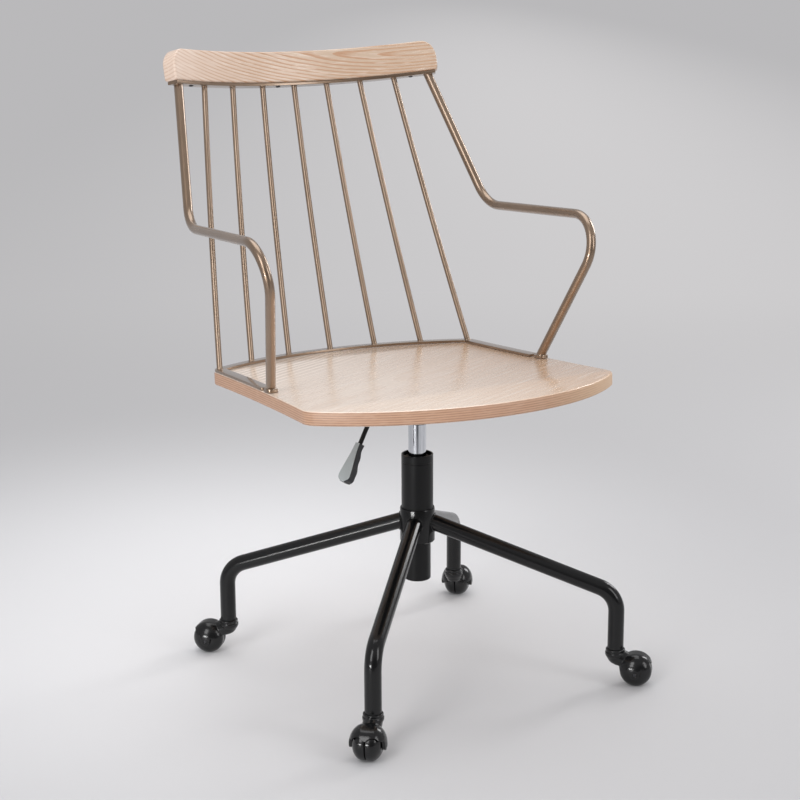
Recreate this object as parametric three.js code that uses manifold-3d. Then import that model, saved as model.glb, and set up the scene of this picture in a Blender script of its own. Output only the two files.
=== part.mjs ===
// Bankers swivel chair: a bent back of seven steel spindles between an oak crest rail and an oak
// plywood seat, arms bent from one tube each, a gas lift column with a release lever, and a base of
// four tube legs on hooded twin wheel ball casters.
// Millimetres, +Z up. The chair faces -Y, and left and right are those of someone facing it.
// The origin is on the floor under the middle of the chair's plan outline.
import * as THREE from 'three';
import { mergeVertices } from 'three/addons/utils/BufferGeometryUtils.js';
import Module from 'manifold-3d';

const wasm = await Module();
wasm.setup();

const radians = THREE.MathUtils.degToRad;

// Clearances and facets
const seatedGap = 0.3; // between two pieces that rest on or are fixed to each other
const runningGap = 0.35; // between a shaft and the hole that it turns or slides in
const weldTolerance = 1e-4;
const simplifyTolerance = 0.01;
const overrun = 5; // how far a cutter passes the faces that it cuts
const cornerSteps = 3;
const bendSteps = 5;
const arrisSteps = 2;
const turnSegments = 16;
const pinSegments = 10;

// Seat panel. Its own frame lies in the top face on the column axis, x right, y back, z up
const seatHeight = 481;
const seatTilt = radians(3.7); // the rear edge is the lower one
const seatThickness = 21;
const seatArris = 3;
const seatFrontReach = 267;
const seatFrontRadius = 355;
const seatRearReach = 318;
const seatRearRadius = 435;
const seatFrontHalfWidth = 262;
const seatRearHalfWidth = 240;
const seatWaistHalfWidth = 242;
const seatWaistReach = 60;
const seatFrontCornerLength = 15;
const seatRearCornerLength = 12;
const outlineSteps = 4;

// Flat bar round the rear of the seat, and the spindles that stand on it
const bandWidth = 18;
const bandThickness = 4;
const bandInset = 1;
const bandCornerRadius = 5;
const bandFootGap = 1.5;
const bandTolerance = 0.02;
const spindleRadius = 4.75;
const spindleBow = 4;
const spindleSideSteps = [-3, -2, -1, 0, 1, 2, 3];
const spindleFootStep = radians(10.9);
const spindleTopStep = radians(6.83);
const spindleSteps = 5;
const spindleSegments = 8;

// Flat bar and oak rail at the crest. Their frame lies in the bar's underside, above the middle spindle
const crestReach = 407;
const crestHeight = 442.6;
const crestTilt = radians(11.5);
const crestRadius = 500;
const stripWidth = 18;
const stripThickness = 5;
const stripHalfLength = 251;
const stripSteps = 14;
const railThickness = 25;
const railHeight = 52;
const railHalfLength = 257;
const railArris = 3;
const railTopCornerLength = 26;
const railTopCornerHeight = 31;
const railFootCornerLength = 4;
const railFootCornerHeight = 9;
const railSteps = 10;
const railEndSteps = 4;

// Arms, each one bent tube from the crest bar to a foot plate on the seat
const armRadius = 7.5;
const armWall = 1.5;
const armTopSideSteps = 4; // steps of spindleTopStep from the middle
const armRearHalfSpan = 270.7;
const armRearReach = 232.5;
const armRearHeight = 233.7;
const armFrontHalfSpan = 286.9;
const armFrontReach = 112.3;
const armFrontHeight = 231.5;
const armRearBend = 60;
const armFrontBend = 53;
const armFootReach = 19;
const armSegments = 10;
const footWidth = 18;
const footLength = 22;
const footThickness = 5;
const footCornerRadius = 6;

// Mounting plate under the seat, its bolts and front spacers, all square to the column
const plateHalfWidth = 85;
const plateThickness = 3;
const plateCornerRadius = 16;
const plateFrontReach = 168;
const plateRearReach = 62;
const boltHalfSpan = 64;
const boltFrontReach = 150;
const boltRearReach = 42;
const boltRadius = 3;
const boltHeadRadius = 6;
const boltHeadHeight = 4.5;
const boltGrip = 13; // how far a bolt reaches into the seat
const spacerRadius = 9;

// Gas lift column. Its parts are placed down from the seat, and the rod up from the tube's foot
const tubeRadius = 25;
const tubeWall = 2.5;
const tubeTopDrop = 124;
const tubeUpperLength = 85;
const tubeTaperLength = 57;
const tubeLowerLength = 63;
const tubeTop = seatHeight - tubeTopDrop;
const tubeTaperTop = tubeTop - tubeUpperLength;
const tubeTaperFoot = tubeTaperTop - tubeTaperLength;
const tubeFoot = tubeTaperFoot - tubeLowerLength;
const tubeLowerRadius = 21.15;
const tubeFloor = 3;
const bushingRecess = 5;
const bushingFootRise = 4; // above the top of the tube's taper
const bushingChamfer = 2;
const cylinderRadius = 14;
const cylinderWall = 2.5;
const cylinderTopDrop = 45;
const cylinderLength = 211;
const cylinderTop = seatHeight - cylinderTopDrop;
const cylinderFoot = cylinderTop - cylinderLength;
const cylinderTaper = 1;
const cylinderTopWall = 5;
const cylinderSealHeight = 8;
const rodRadius = 5;
const rodLength = 178; // above the tube's foot
const rodHeadHeight = 8;
const rodTailLength = 3;
const rodCollarRadius = 8;
const rodCollarHeight = 3;
const bearingRadius = 14;
const bearingHeight = 8;
const bearingWaist = 1;
const buttonRadius = 3.5;
const buttonFlangeRadius = 5;
const buttonFlangeHeight = 2;
const buttonRise = 4;

// Cone housing welded under the plate, which grips the cylinder and holds the lever
const housingGrip = 29;
const housingFoot = cylinderTop - housingGrip;
const housingWall = 5;
const housingTaper = 2;
const chamberRadius = 33;
const chamberWall = 3;
const chamberFloorDrop = 4;
const chamberFloor = cylinderTop - chamberFloorDrop;

// Release lever. Its path lies in a vertical plane, in lengths out from the column and down from its tail
const leverAzimuth = radians(196.5);
const leverRadius = 3.5;
const leverTailLength = 5;
const leverShoulderReach = 62;
const leverKneeReach = 101;
const leverKneeDrop = 13.8;
const leverGripReach = 122.4;
const leverGripDrop = 47.8;
const leverShoulderBend = 30;
const leverKneeBend = 14;
const leverSlotGap = 0.6;
const leverInsert = 12;
const leverHeight = cylinderTop + buttonRise + seatedGap + leverRadius;
const leverKneeHeight = leverHeight - leverKneeDrop;
const leverGripHeight = leverHeight - leverGripDrop;
const paddleDrop = radians(57.5);
const paddleLength = 63;
const paddleRootWidth = 11;
const paddleWidth = 27;
const paddleRootThickness = 12;
const paddleThickness = 15;
const paddleArris = 3;
const paddleEndRound = 11;
const paddleScallop = 1.6;
const paddleScallops = 3;
const paddleEndShare = 0.2; // of the full width squared, at the very end
const paddleSteps = 10;

// Base: hub sleeve and four legs, each leg in a frame turned about the column
const hubRadius = 27.5;
const hubTopInset = 2; // below the top of the tube's taper
const hubTop = tubeTaperTop - hubTopInset;
const hubChamfer = 1.5;
const legNames = ['right', 'front', 'left', 'back'];
const firstLegAzimuth = radians(-40.25);
const legRadius = 12.7;
const legWall = 1.5;
const legRootDrop = 15.2;
const legRootHeight = hubTop - legRootDrop;
const legShoulderHeight = 147.55;
const legReach = 316.5;
const legFoot = 60;
const legBend = 40;
const legSegments = 10;
const socketLength = 38;
const socketFlange = 1.5;
const socketFit = 0.5;

// Casters. Each has its own frame under the leg, with x along the trail of the wheels
const stemRadius = 5.5;
const stemTop = 90;
const stemFoot = 40;
const stemChamfer = 1.5;
const stemGroove = 0.8;
const casterTrail = 33;
const wheelRadius = 25;
const wheelHalfGap = 1;
const wheelTreadHalfWidth = 6;
const wheelCrownLength = 17;
const wheelHalfWidth = 21;
const wheelSegments = 16;
const crownSteps = 3;
const axleRadius = 2.5;
const axleEndInset = 0.6;
const hoodClearance = 1;
const hoodWall = 2;
const hoodSideWall = 3.6;
const hoodEarRadius = 9.5;
const hoodEarRoundShare = 0.99;
const hoodCollarSegments = 12;
const hoodLipAngle = radians(30);
const hoodArchRadius = 19.5;
const hoodArchDrop = 8.5; // of the arch's axis below the wheels' axle
const collarTop = 57.9;
const collarRadius = 16;
const collarRingHeight = 4.2;
const collarGroove = 0.9;
const neckRootHeight = 38;
const neckRadius = 14.5;
const neckEndReach = 24;
const neckEndHeight = 34;
const neckEndTilt = radians(60);

// Materials
function paint(color, roughness, metalness) {
  return new THREE.MeshStandardMaterial({ color, roughness, metalness });
}
const oak = paint(0xe0cfbf, 0.55, 0);
const bronze = paint(0x8c6e55, 0.32, 0.9);
const glossBlack = paint(0x19191b, 0.25, 0.1);
const satinBlack = paint(0x202022, 0.45, 0.2);
const blackPlastic = paint(0x141416, 0.2, 0);
const greyPlastic = paint(0x87828a, 0.45, 0);
const chrome = paint(0xd8dade, 0.12, 1);
const steel = paint(0xa0a2a6, 0.35, 1);
const nylon = paint(0x2a2a2c, 0.6, 0);

// Solids and geometries

function weld(geometry) {
  const bare = new THREE.BufferGeometry();
  bare.setAttribute('position', geometry.getAttribute('position'));
  if (geometry.index) bare.setIndex(geometry.index);
  const merged = mergeVertices(bare, weldTolerance);
  const kept = [];
  const corners = merged.index.array;
  for (let i = 0; i < corners.length; i += 3) {
    const [a, b, c] = corners.slice(i, i + 3);
    if (a !== b && b !== c && c !== a) kept.push(a, b, c);
  }
  merged.setIndex(kept);
  return merged;
}

function volumeOf(geometry) {
  const place = geometry.getAttribute('position');
  const corners = geometry.index.array;
  const [a, b, c] = [new THREE.Vector3(), new THREE.Vector3(), new THREE.Vector3()];
  let volume = 0;
  for (let i = 0; i < corners.length; i += 3) {
    a.fromBufferAttribute(place, corners[i]);
    b.fromBufferAttribute(place, corners[i + 1]);
    c.fromBufferAttribute(place, corners[i + 2]);
    volume += a.dot(b.cross(c)) / 6;
  }
  return volume;
}

// A closed geometry with its vertices shared and its faces pointing out.
function closed(geometry) {
  const welded = weld(geometry);
  if (volumeOf(welded) < 0) welded.setIndex(Array.from(welded.index.array).reverse());
  return welded;
}

function solidOf(geometry) {
  const welded = closed(geometry);
  return new wasm.Manifold(new wasm.Mesh({
    numProp: 3,
    vertProperties: new Float32Array(welded.getAttribute('position').array),
    triVerts: new Uint32Array(welded.index.array),
  }));
}

function geometryOf(solid) {
  const mesh = solid.getMesh();
  const geometry = new THREE.BufferGeometry();
  geometry.setAttribute('position', new THREE.BufferAttribute(Float32Array.from(mesh.vertProperties), 3));
  geometry.setIndex(new THREE.BufferAttribute(Uint32Array.from(mesh.triVerts), 1));
  geometry.computeVertexNormals();
  return geometry;
}

function cut(geometry, ...cutters) {
  const solid = cutters.reduce((left, cutter) => left.subtract(solidOf(cutter)), solidOf(geometry));
  return geometryOf(solid);
}

// The same solid with the vertices left out that its flat faces and straight edges don't need.
function simplified(geometry) {
  return geometryOf(solidOf(geometry).simplify(simplifyTolerance));
}

function join(...geometries) {
  const [first, ...rest] = geometries.map(solidOf);
  return geometryOf(rest.reduce((whole, next) => whole.add(next), first));
}

function within(geometry, space) {
  return geometryOf(solidOf(geometry).intersect(solidOf(space)));
}

// The outline through corners given as [x, y, radius], with an arc at each corner that has a radius.
function outlineOf(corners) {
  const points = [];
  corners.forEach(([x, y, radius = 0], i) => {
    const corner = new THREE.Vector2(x, y);
    if (radius === 0) {
      points.push(corner);
      return;
    }
    const [beforeX, beforeY] = corners.at(i - 1);
    const [afterX, afterY] = corners[(i + 1) % corners.length];
    const back = new THREE.Vector2(beforeX, beforeY).sub(corner).normalize();
    const ahead = new THREE.Vector2(afterX, afterY).sub(corner).normalize();
    const halfAngle = Math.acos(THREE.MathUtils.clamp(back.dot(ahead), -1, 1)) / 2;
    const middle = back.clone().add(ahead).setLength(radius / Math.sin(halfAngle)).add(corner);
    const start = back.clone().multiplyScalar(radius / Math.tan(halfAngle)).add(corner).sub(middle);
    const sweep = Math.sign(back.cross(ahead)) * (2 * halfAngle - Math.PI);
    for (let step = 0; step <= cornerSteps; step += 1) {
      const arm = start.clone().rotateAround(new THREE.Vector2(), (sweep * step) / cornerSteps);
      points.push(arm.add(middle));
    }
  });
  return points;
}

// The closed outline moved inwards by a distance. It runs anticlockwise.
function inset(outline, distance) {
  return outline.map((point, i) => {
    const before = outline.at(i - 1);
    const after = outline[(i + 1) % outline.length];
    const run = point.clone().sub(before).normalize().add(after.clone().sub(point).normalize()).normalize();
    return new THREE.Vector2(-run.y, run.x).multiplyScalar(distance).add(point);
  });
}

// A plate with the given outline, from z = foot to z = foot + thickness.
function plate(outline, foot, thickness, holes = []) {
  const shape = new THREE.Shape(outline);
  shape.holes = holes.map((hole) => new THREE.Path(hole));
  const geometry = new THREE.ExtrudeGeometry(shape, { depth: thickness, bevelEnabled: false });
  return geometry.translate(0, 0, foot);
}

function circle(radius, segments, x = 0, y = 0) {
  return Array.from({ length: segments }, (_, i) => {
    const angle = (2 * Math.PI * i) / segments;
    return new THREE.Vector2(x + radius * Math.cos(angle), y + radius * Math.sin(angle));
  });
}

// A solid turned about Z from [radius, height] points. The profile closes on itself.
function turned(profile, segments = turnSegments) {
  const points = [...profile, profile[0]].map(([radius, height]) => new THREE.Vector2(radius, height));
  return closed(new THREE.LatheGeometry(points, segments)).rotateX(Math.PI / 2);
}

// The same about the Y axis, with a flat of its facets facing each way across the axis.
function turnedOnAxle(profile, segments = wheelSegments) {
  const points = [...profile, profile[0]].map(([radius, place]) => new THREE.Vector2(radius, place));
  return closed(new THREE.LatheGeometry(points, segments, Math.PI / segments));
}

function pin(radius, foot, top, segments = pinSegments) {
  return turned([[0, foot], [radius, foot], [radius, top], [0, top]], segments);
}

// A closed solid through rings of points, all of one count, with a fan over each end.
function loft(rings) {
  const count = rings[0].length;
  const places = rings.flat();
  const corners = [];
  for (let ring = 0; ring < rings.length - 1; ring += 1) {
    for (let i = 0; i < count; i += 1) {
      const here = ring * count + i;
      const next = ring * count + ((i + 1) % count);
      corners.push(here, next, next + count, here, next + count, here + count);
    }
  }
  [rings[0], rings.at(-1)].forEach((ring, end) => {
    const middle = ring.reduce((sum, point) => sum.add(point), new THREE.Vector3()).divideScalar(count);
    const first = end === 0 ? 0 : places.length - 1 - count;
    for (let i = 0; i < count; i += 1) {
      const edge = [first + i, first + ((i + 1) % count)];
      if (end === 0) edge.reverse();
      corners.push(...edge, places.length);
    }
    places.push(middle);
  });
  const geometry = new THREE.BufferGeometry().setFromPoints(places);
  geometry.setIndex(corners);
  return closed(geometry);
}

// A line through corners, each inner one rounded to a bend radius. Its stations are the ends of the
// straight stretches and even steps round each bend.
class BentLine extends THREE.Curve {
  constructor(corners, bendRadii) {
    super();
    this.stations = [];
    const directions = corners.slice(1).map((corner, i) => corner.clone().sub(corners[i]).normalize());
    this.addStation(corners[0], directions[0]);
    bendRadii.forEach((radius, i) => {
      const [incoming, outgoing] = [directions[i], directions[i + 1]];
      const turn = incoming.angleTo(outgoing);
      const inward = outgoing.clone().addScaledVector(incoming, -Math.cos(turn)).normalize();
      const start = corners[i + 1].clone().addScaledVector(incoming, -radius * Math.tan(turn / 2));
      for (let step = 0; step <= bendSteps; step += 1) {
        const angle = (turn * step) / bendSteps;
        const place = start.clone()
          .addScaledVector(incoming, radius * Math.sin(angle))
          .addScaledVector(inward, radius * (1 - Math.cos(angle)));
        const tangent = incoming.clone().multiplyScalar(Math.cos(angle));
        this.addStation(place, tangent.addScaledVector(inward, Math.sin(angle)));
      }
    });
    this.addStation(corners.at(-1), directions.at(-1));
  }

  addStation(place, tangent) {
    this.stations.push({ place, tangent });
  }

  stationAt(share) {
    return this.stations[Math.round(share * (this.stations.length - 1))];
  }

  getPointAt(share, target = new THREE.Vector3()) {
    return target.copy(this.stationAt(share).place);
  }

  getTangentAt(share, target = new THREE.Vector3()) {
    return target.copy(this.stationAt(share).tangent);
  }
}

// A rod or tube bent along a line. A wall of zero leaves it solid.
function bentTube(line, radius, wall, segments) {
  const shape = new THREE.Shape(circle(radius, segments));
  if (wall > 0) shape.holes.push(new THREE.Path(circle(radius - wall, segments)));
  return new THREE.ExtrudeGeometry(shape, {
    steps: line.stations.length - 1, extrudePath: line, bevelEnabled: false,
  });
}

// The chair's frames
const chair = new THREE.Group();
const seatFrame = new THREE.Group();
seatFrame.position.z = seatHeight;
seatFrame.rotation.x = -seatTilt;
chair.add(seatFrame);
const crestFrame = new THREE.Group();
crestFrame.position.set(0, crestReach, crestHeight);
crestFrame.rotation.x = -crestTilt;
seatFrame.add(crestFrame);
seatFrame.updateMatrixWorld(true);
crestFrame.updateMatrix();

function addPiece(frame, name, geometry, material) {
  const mesh = new THREE.Mesh(closed(geometry), material);
  mesh.name = name;
  mesh.geometry.computeVertexNormals();
  frame.add(mesh);
}

// From the chair's own frame into the seat's, for what stands square to the column.
function intoSeatFrame(geometry) {
  return geometry.clone().applyMatrix4(seatFrame.matrixWorld.clone().invert());
}

function turnedAbout(radius, angle, middle = 0) {
  return new THREE.Vector2(radius * Math.sin(angle), middle + radius * Math.cos(angle));
}

// Seat outline, anticlockwise from the middle of the front edge
const seatRearMiddle = seatRearReach - seatRearRadius;

function seatOutline() {
  const frontMiddle = seatFrontRadius - seatFrontReach;
  const frontAngle = Math.asin(seatFrontHalfWidth / seatFrontRadius);
  const rearAngle = Math.asin(seatRearHalfWidth / seatRearRadius);
  const frontCorner = turnedAbout(-seatFrontRadius, -frontAngle, frontMiddle);
  const rearCorner = turnedAbout(seatRearRadius, rearAngle, seatRearMiddle);
  const waist = new THREE.Vector2(seatWaistHalfWidth, seatWaistReach);
  const along = (from, distance) => waist.clone().sub(from).setLength(distance).add(from);
  const sideStart = along(frontCorner, seatFrontCornerLength);
  const sideEnd = along(rearCorner, seatRearCornerLength);
  const frontTurn = frontAngle - seatFrontCornerLength / seatFrontRadius;
  const rearTurn = rearAngle - seatRearCornerLength / seatRearRadius;
  const rearStart = turnedAbout(seatRearRadius, rearTurn, seatRearMiddle);
  const half = new THREE.Path();
  half.absarc(0, frontMiddle, seatFrontRadius, -Math.PI / 2, frontTurn - Math.PI / 2);
  half.quadraticCurveTo(frontCorner.x, frontCorner.y, sideStart.x, sideStart.y);
  half.quadraticCurveTo(waist.x, waist.y, sideEnd.x, sideEnd.y);
  half.quadraticCurveTo(rearCorner.x, rearCorner.y, rearStart.x, rearStart.y);
  half.absarc(0, seatRearMiddle, seatRearRadius, Math.PI / 2 - rearTurn, Math.PI / 2);
  const right = half.getPoints(outlineSteps);
  const left = right.slice(1, -1).reverse().map((point) => new THREE.Vector2(-point.x, point.y));
  return [...right, ...left];
}

const seatEdge = seatOutline();

// Half the seat's width at a distance behind the column axis, on its sides.
function seatHalfWidthAt(reach) {
  const i = seatEdge.findIndex((point) => point.y > reach && point.x > 0);
  const [low, high] = [seatEdge[i - 1], seatEdge[i]];
  return THREE.MathUtils.mapLinear(reach, low.y, high.y, low.x, high.x);
}

// The seat's underside on the chair's own axes, as a height at a distance behind the column axis.
function seatUndersideAt(reach) {
  return seatHeight - seatThickness / Math.cos(seatTilt) - reach * Math.tan(seatTilt);
}

const boltPlaces = [
  [-boltHalfSpan, -boltFrontReach],
  [boltHalfSpan, -boltFrontReach],
  [-boltHalfSpan, boltRearReach],
  [boltHalfSpan, boltRearReach],
];
const plateTop = seatUndersideAt(plateRearReach) - seatedGap;
const plateFoot = plateTop - plateThickness;

function seatPanel() {
  const rings = [];
  for (let step = 0; step <= arrisSteps; step += 1) {
    const turn = (Math.PI / 2) * (step / arrisSteps);
    const ring = inset(seatEdge, seatArris * (1 - Math.sin(turn)));
    const depth = seatArris * (1 - Math.cos(turn));
    rings.splice(step, 0, ring.map((point) => new THREE.Vector3(point.x, point.y, depth - seatThickness)));
    rings.splice(step + 1, 0, ring.map((point) => new THREE.Vector3(point.x, point.y, -depth)));
  }
  const boltHoles = boltPlaces.map(([x, y]) => {
    const foot = seatUndersideAt(y);
    const hole = pin(boltRadius + seatedGap, foot - overrun, foot + boltGrip + seatedGap);
    return intoSeatFrame(hole.translate(x, y, 0));
  });
  return cut(loft(rings), ...boltHoles);
}
addPiece(seatFrame, 'seat_panel', seatPanel(), oak);

// Seat band
const bandFoot = seatedGap;
const bandTop = bandFoot + bandThickness;
const bandEndReach = armFootReach + footLength / 2 + bandFootGap;

// The strip between two insets of the seat's outline, behind its ends, with its corners rounded.
function seatBand() {
  const seat = new wasm.CrossSection([seatEdge.map((point) => point.toArray())]);
  const insetBy = (distance) => seat.offset(-distance, 'Miter');
  const behind = wasm.CrossSection.square([4 * seatRearHalfWidth, 2 * seatRearReach])
    .translate([-2 * seatRearHalfWidth, bandEndReach]);
  const strip = insetBy(bandInset).subtract(insetBy(bandInset + bandWidth)).intersect(behind);
  const miterLimit = 2;
  const rounded = strip.offset(-bandCornerRadius, 'Miter')
    .offset(bandCornerRadius, 'Round', miterLimit, pinSegments).simplify(bandTolerance);
  return geometryOf(rounded.extrude(bandThickness)).translate(0, 0, bandFoot);
}
addPiece(seatFrame, 'seat_band', seatBand(), bronze);

// Spindles and arm tubes fill the space between what they stand on and the crest bar's underside,
// a wedge that is wide open at the sides
function spaceUnderCrest(foot) {
  const span = seatFrontReach + crestReach;
  const lineAt = (place) => new THREE.Vector3(0, place, -seatedGap).applyMatrix4(crestFrame.matrix);
  const [rear, front] = [lineAt(span / 2), lineAt(-span)];
  const shape = new THREE.Shape([
    new THREE.Vector2(front.y, foot),
    new THREE.Vector2(rear.y, foot),
    new THREE.Vector2(rear.y, rear.z),
    new THREE.Vector2(front.y, front.z),
  ]);
  const wedge = new THREE.ExtrudeGeometry(shape, { depth: 2 * span, bevelEnabled: false });
  // The profile's x and y become the frame's y and z, and its depth runs along x
  const turn = new THREE.Matrix4().makeBasis(
    new THREE.Vector3(0, 1, 0), new THREE.Vector3(0, 0, 1), new THREE.Vector3(1, 0, 0),
  );
  return wedge.translate(0, 0, -span).applyMatrix4(turn);
}

const bandMiddleRadius = seatRearRadius - bandInset - bandWidth / 2;

function crestPlace(side) {
  const place = turnedAbout(crestRadius, side * spindleTopStep, -crestRadius);
  return new THREE.Vector3(place.x, place.y, 0).applyMatrix4(crestFrame.matrix);
}

function spindle(side) {
  const place = turnedAbout(bandMiddleRadius, side * spindleFootStep, seatRearMiddle);
  const foot = new THREE.Vector3(place.x, place.y, bandTop);
  const top = crestPlace(side);
  const overlap = top.clone().sub(foot).setLength(2 * spindleRadius);
  const bowed = foot.clone().add(top).divideScalar(2);
  bowed.y += 2 * spindleBow;
  const line = new THREE.QuadraticBezierCurve3(foot.sub(overlap), bowed, top.add(overlap));
  const rod = new THREE.ExtrudeGeometry(new THREE.Shape(circle(spindleRadius, spindleSegments)), {
    steps: spindleSteps, extrudePath: line, bevelEnabled: false,
  });
  return within(rod, spaceUnderCrest(bandTop + seatedGap));
}
spindleSideSteps.forEach((side, i) => addPiece(seatFrame, `spindle_${i + 1}`, spindle(side), bronze));

// Arms and their feet
const footTop = seatedGap + footThickness;
const footHalfSpan = seatHalfWidthAt(armFootReach) - bandInset - footWidth / 2;

function armTube(side) {
  const top = crestPlace(side * armTopSideSteps);
  const rear = new THREE.Vector3(side * armRearHalfSpan, armRearReach, armRearHeight);
  const front = new THREE.Vector3(side * armFrontHalfSpan, -armFrontReach, armFrontHeight);
  const foot = new THREE.Vector3(side * footHalfSpan, armFootReach, footTop);
  const beyond = (end, from) => end.clone().sub(from).setLength(2 * armRadius).add(end);
  const corners = [beyond(top, rear), rear, front, beyond(foot, front)];
  const line = new BentLine(corners, [armRearBend, armFrontBend]);
  return within(bentTube(line, armRadius, armWall, armSegments), spaceUnderCrest(footTop + seatedGap));
}

function footPlate(side) {
  const [halfWidth, halfLength] = [footWidth / 2, footLength / 2];
  const outline = outlineOf([
    [-halfWidth, -halfLength, footCornerRadius],
    [halfWidth, -halfLength, footCornerRadius],
    [halfWidth, halfLength, footCornerRadius],
    [-halfWidth, halfLength, footCornerRadius],
  ]);
  return plate(outline, seatedGap, footThickness).translate(side * footHalfSpan, armFootReach, 0);
}
[[-1, 'left'], [1, 'right']].forEach(([side, name]) => {
  addPiece(seatFrame, `arm_tube_${name}`, armTube(side), bronze);
  addPiece(seatFrame, `arm_foot_${name}`, footPlate(side), bronze);
});

// Crest bar and rail
function crestStrip() {
  const edge = (radius, direction) => Array.from({ length: stripSteps + 1 }, (_, i) => {
    const angle = direction * THREE.MathUtils.lerp(-1, 1, i / stripSteps) * (stripHalfLength / crestRadius);
    return turnedAbout(radius, angle, -crestRadius);
  });
  const outline = [...edge(crestRadius - stripWidth / 2, 1), ...edge(crestRadius + stripWidth / 2, -1)];
  return plate(outline, 0, stripThickness);
}
addPiece(crestFrame, 'crest_strip', crestStrip(), bronze);

// The rail is a rounded section carried along the crest's arc, lower and thinner at its rounded ends.
function crestRail() {
  const flat = railHalfLength - railTopCornerLength;
  const places = [];
  for (let step = 0; step <= railEndSteps; step += 1) {
    const turn = (Math.PI / 2) * (1 - step / railEndSteps);
    places.push(-flat - railTopCornerLength * Math.sin(turn));
  }
  for (let step = 1; step <= railSteps; step += 1) {
    places.push(THREE.MathUtils.lerp(-flat, flat, step / railSteps));
  }
  places.push(...places.slice(0, railEndSteps).reverse().map((place) => -place));
  const rings = places.map((place) => {
    const intoTop = Math.max(Math.abs(place) - flat, 0) / railTopCornerLength;
    const fromEnd = railHalfLength - Math.abs(place);
    const intoFoot = Math.max(1 - fromEnd / railFootCornerLength, 0);
    const top = railHeight - railTopCornerHeight * (1 - Math.sqrt(Math.max(1 - intoTop ** 2, 0)));
    const foot = railFootCornerHeight * (1 - Math.sqrt(1 - intoFoot ** 2));
    const halfDepth = railThickness / 2 - railArris * Math.max(1 - fromEnd / railArris, 0);
    const section = outlineOf([
      [-halfDepth, foot, railArris],
      [halfDepth, foot, railArris],
      [halfDepth, top, railArris],
      [-halfDepth, top, railArris],
    ]);
    const angle = place / crestRadius;
    return section.map((point) => {
      const onPlan = turnedAbout(crestRadius + point.x, angle, -crestRadius);
      return new THREE.Vector3(onPlan.x, onPlan.y, stripThickness + seatedGap + point.y);
    });
  });
  return loft(rings);
}
addPiece(crestFrame, 'crest_rail', crestRail(), oak);

// Mounting plate, bolts and spacers
function mountPlate() {
  const outline = outlineOf([
    [-plateHalfWidth, -plateFrontReach, plateCornerRadius],
    [plateHalfWidth, -plateFrontReach, plateCornerRadius],
    [plateHalfWidth, plateRearReach, plateCornerRadius],
    [-plateHalfWidth, plateRearReach, plateCornerRadius],
  ]);
  const holes = boltPlaces.map(([x, y]) => circle(boltRadius + seatedGap, pinSegments, x, y));
  return plate(outline, plateFoot, plateThickness, holes);
}
addPiece(chair, 'mount_plate', mountPlate(), satinBlack);

function plateBolt([x, y]) {
  const headTop = plateFoot - seatedGap;
  const headFoot = headTop - boltHeadHeight;
  const edge = boltHeadRadius - boltHeadHeight / 2;
  const bolt = turned([
    [0, headFoot], [edge, headFoot], [boltHeadRadius, headFoot + boltHeadHeight / 2],
    [boltHeadRadius, headTop], [boltRadius, headTop],
    [boltRadius, seatUndersideAt(y) + boltGrip], [0, seatUndersideAt(y) + boltGrip],
  ], pinSegments);
  return bolt.translate(x, y, 0);
}
boltPlaces.forEach((place, i) => addPiece(chair, `plate_bolt_${i + 1}`, plateBolt(place), steel));

function frontSpacer([x, y]) {
  const top = seatUndersideAt(y) + overrun;
  const foot = plateTop + seatedGap;
  const bore = boltRadius + seatedGap;
  const bush = turned([[bore, foot], [spacerRadius, foot], [spacerRadius, top], [bore, top]], pinSegments);
  const reach = spacerRadius + overrun;
  const seatSide = plate(
    outlineOf([[-reach, -reach], [reach, -reach], [reach, reach], [-reach, reach]]),
    -seatThickness - seatedGap, seatThickness,
  ).translate(x, y / Math.cos(seatTilt), 0).applyMatrix4(seatFrame.matrixWorld);
  return cut(bush.translate(x, y, 0), seatSide);
}
addPiece(chair, 'seat_spacer_left', frontSpacer(boltPlaces[0]), blackPlastic);
addPiece(chair, 'seat_spacer_right', frontSpacer(boltPlaces[1]), blackPlastic);

// Cylinder radius where the housing grips it: its taper narrows it towards the top.
function cylinderRadiusAt(height) {
  return cylinderRadius - cylinderTaper * THREE.MathUtils.smoothstep(height, housingFoot, cylinderTop);
}

function coneHousing() {
  const top = plateFoot - seatedGap;
  const footBore = cylinderRadiusAt(housingFoot) + seatedGap;
  const floorBore = cylinderRadiusAt(cylinderTop) + seatedGap;
  const footRadius = footBore + housingWall;
  const chamberInner = chamberRadius - chamberWall;
  const shell = turned([
    [footBore, housingFoot], [footRadius, housingFoot],
    [footRadius + housingTaper, chamberFloor - 2 * chamberWall],
    [chamberRadius, chamberFloor - chamberWall], [chamberRadius, top],
    [chamberInner, top], [chamberInner, chamberFloor], [floorBore + cylinderTaper, chamberFloor],
  ]);
  const slot = pin(leverRadius + leverSlotGap, chamberRadius / 2, chamberRadius + overrun)
    .rotateY(Math.PI / 2).translate(0, 0, leverHeight).rotateZ(leverAzimuth);
  return cut(shell, slot);
}
addPiece(chair, 'cone_housing', coneHousing(), satinBlack);

// Release lever. The frame's x runs out from the column in the lever's own plane
const leverFrame = new THREE.Group();
leverFrame.rotation.z = leverAzimuth;
chair.add(leverFrame);

const gripTop = new THREE.Vector3(leverGripReach, 0, leverGripHeight);
const paddleRun = new THREE.Vector3(Math.cos(paddleDrop), 0, -Math.sin(paddleDrop));
const paddleFace = new THREE.Vector3(Math.sin(paddleDrop), 0, Math.cos(paddleDrop));

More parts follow.
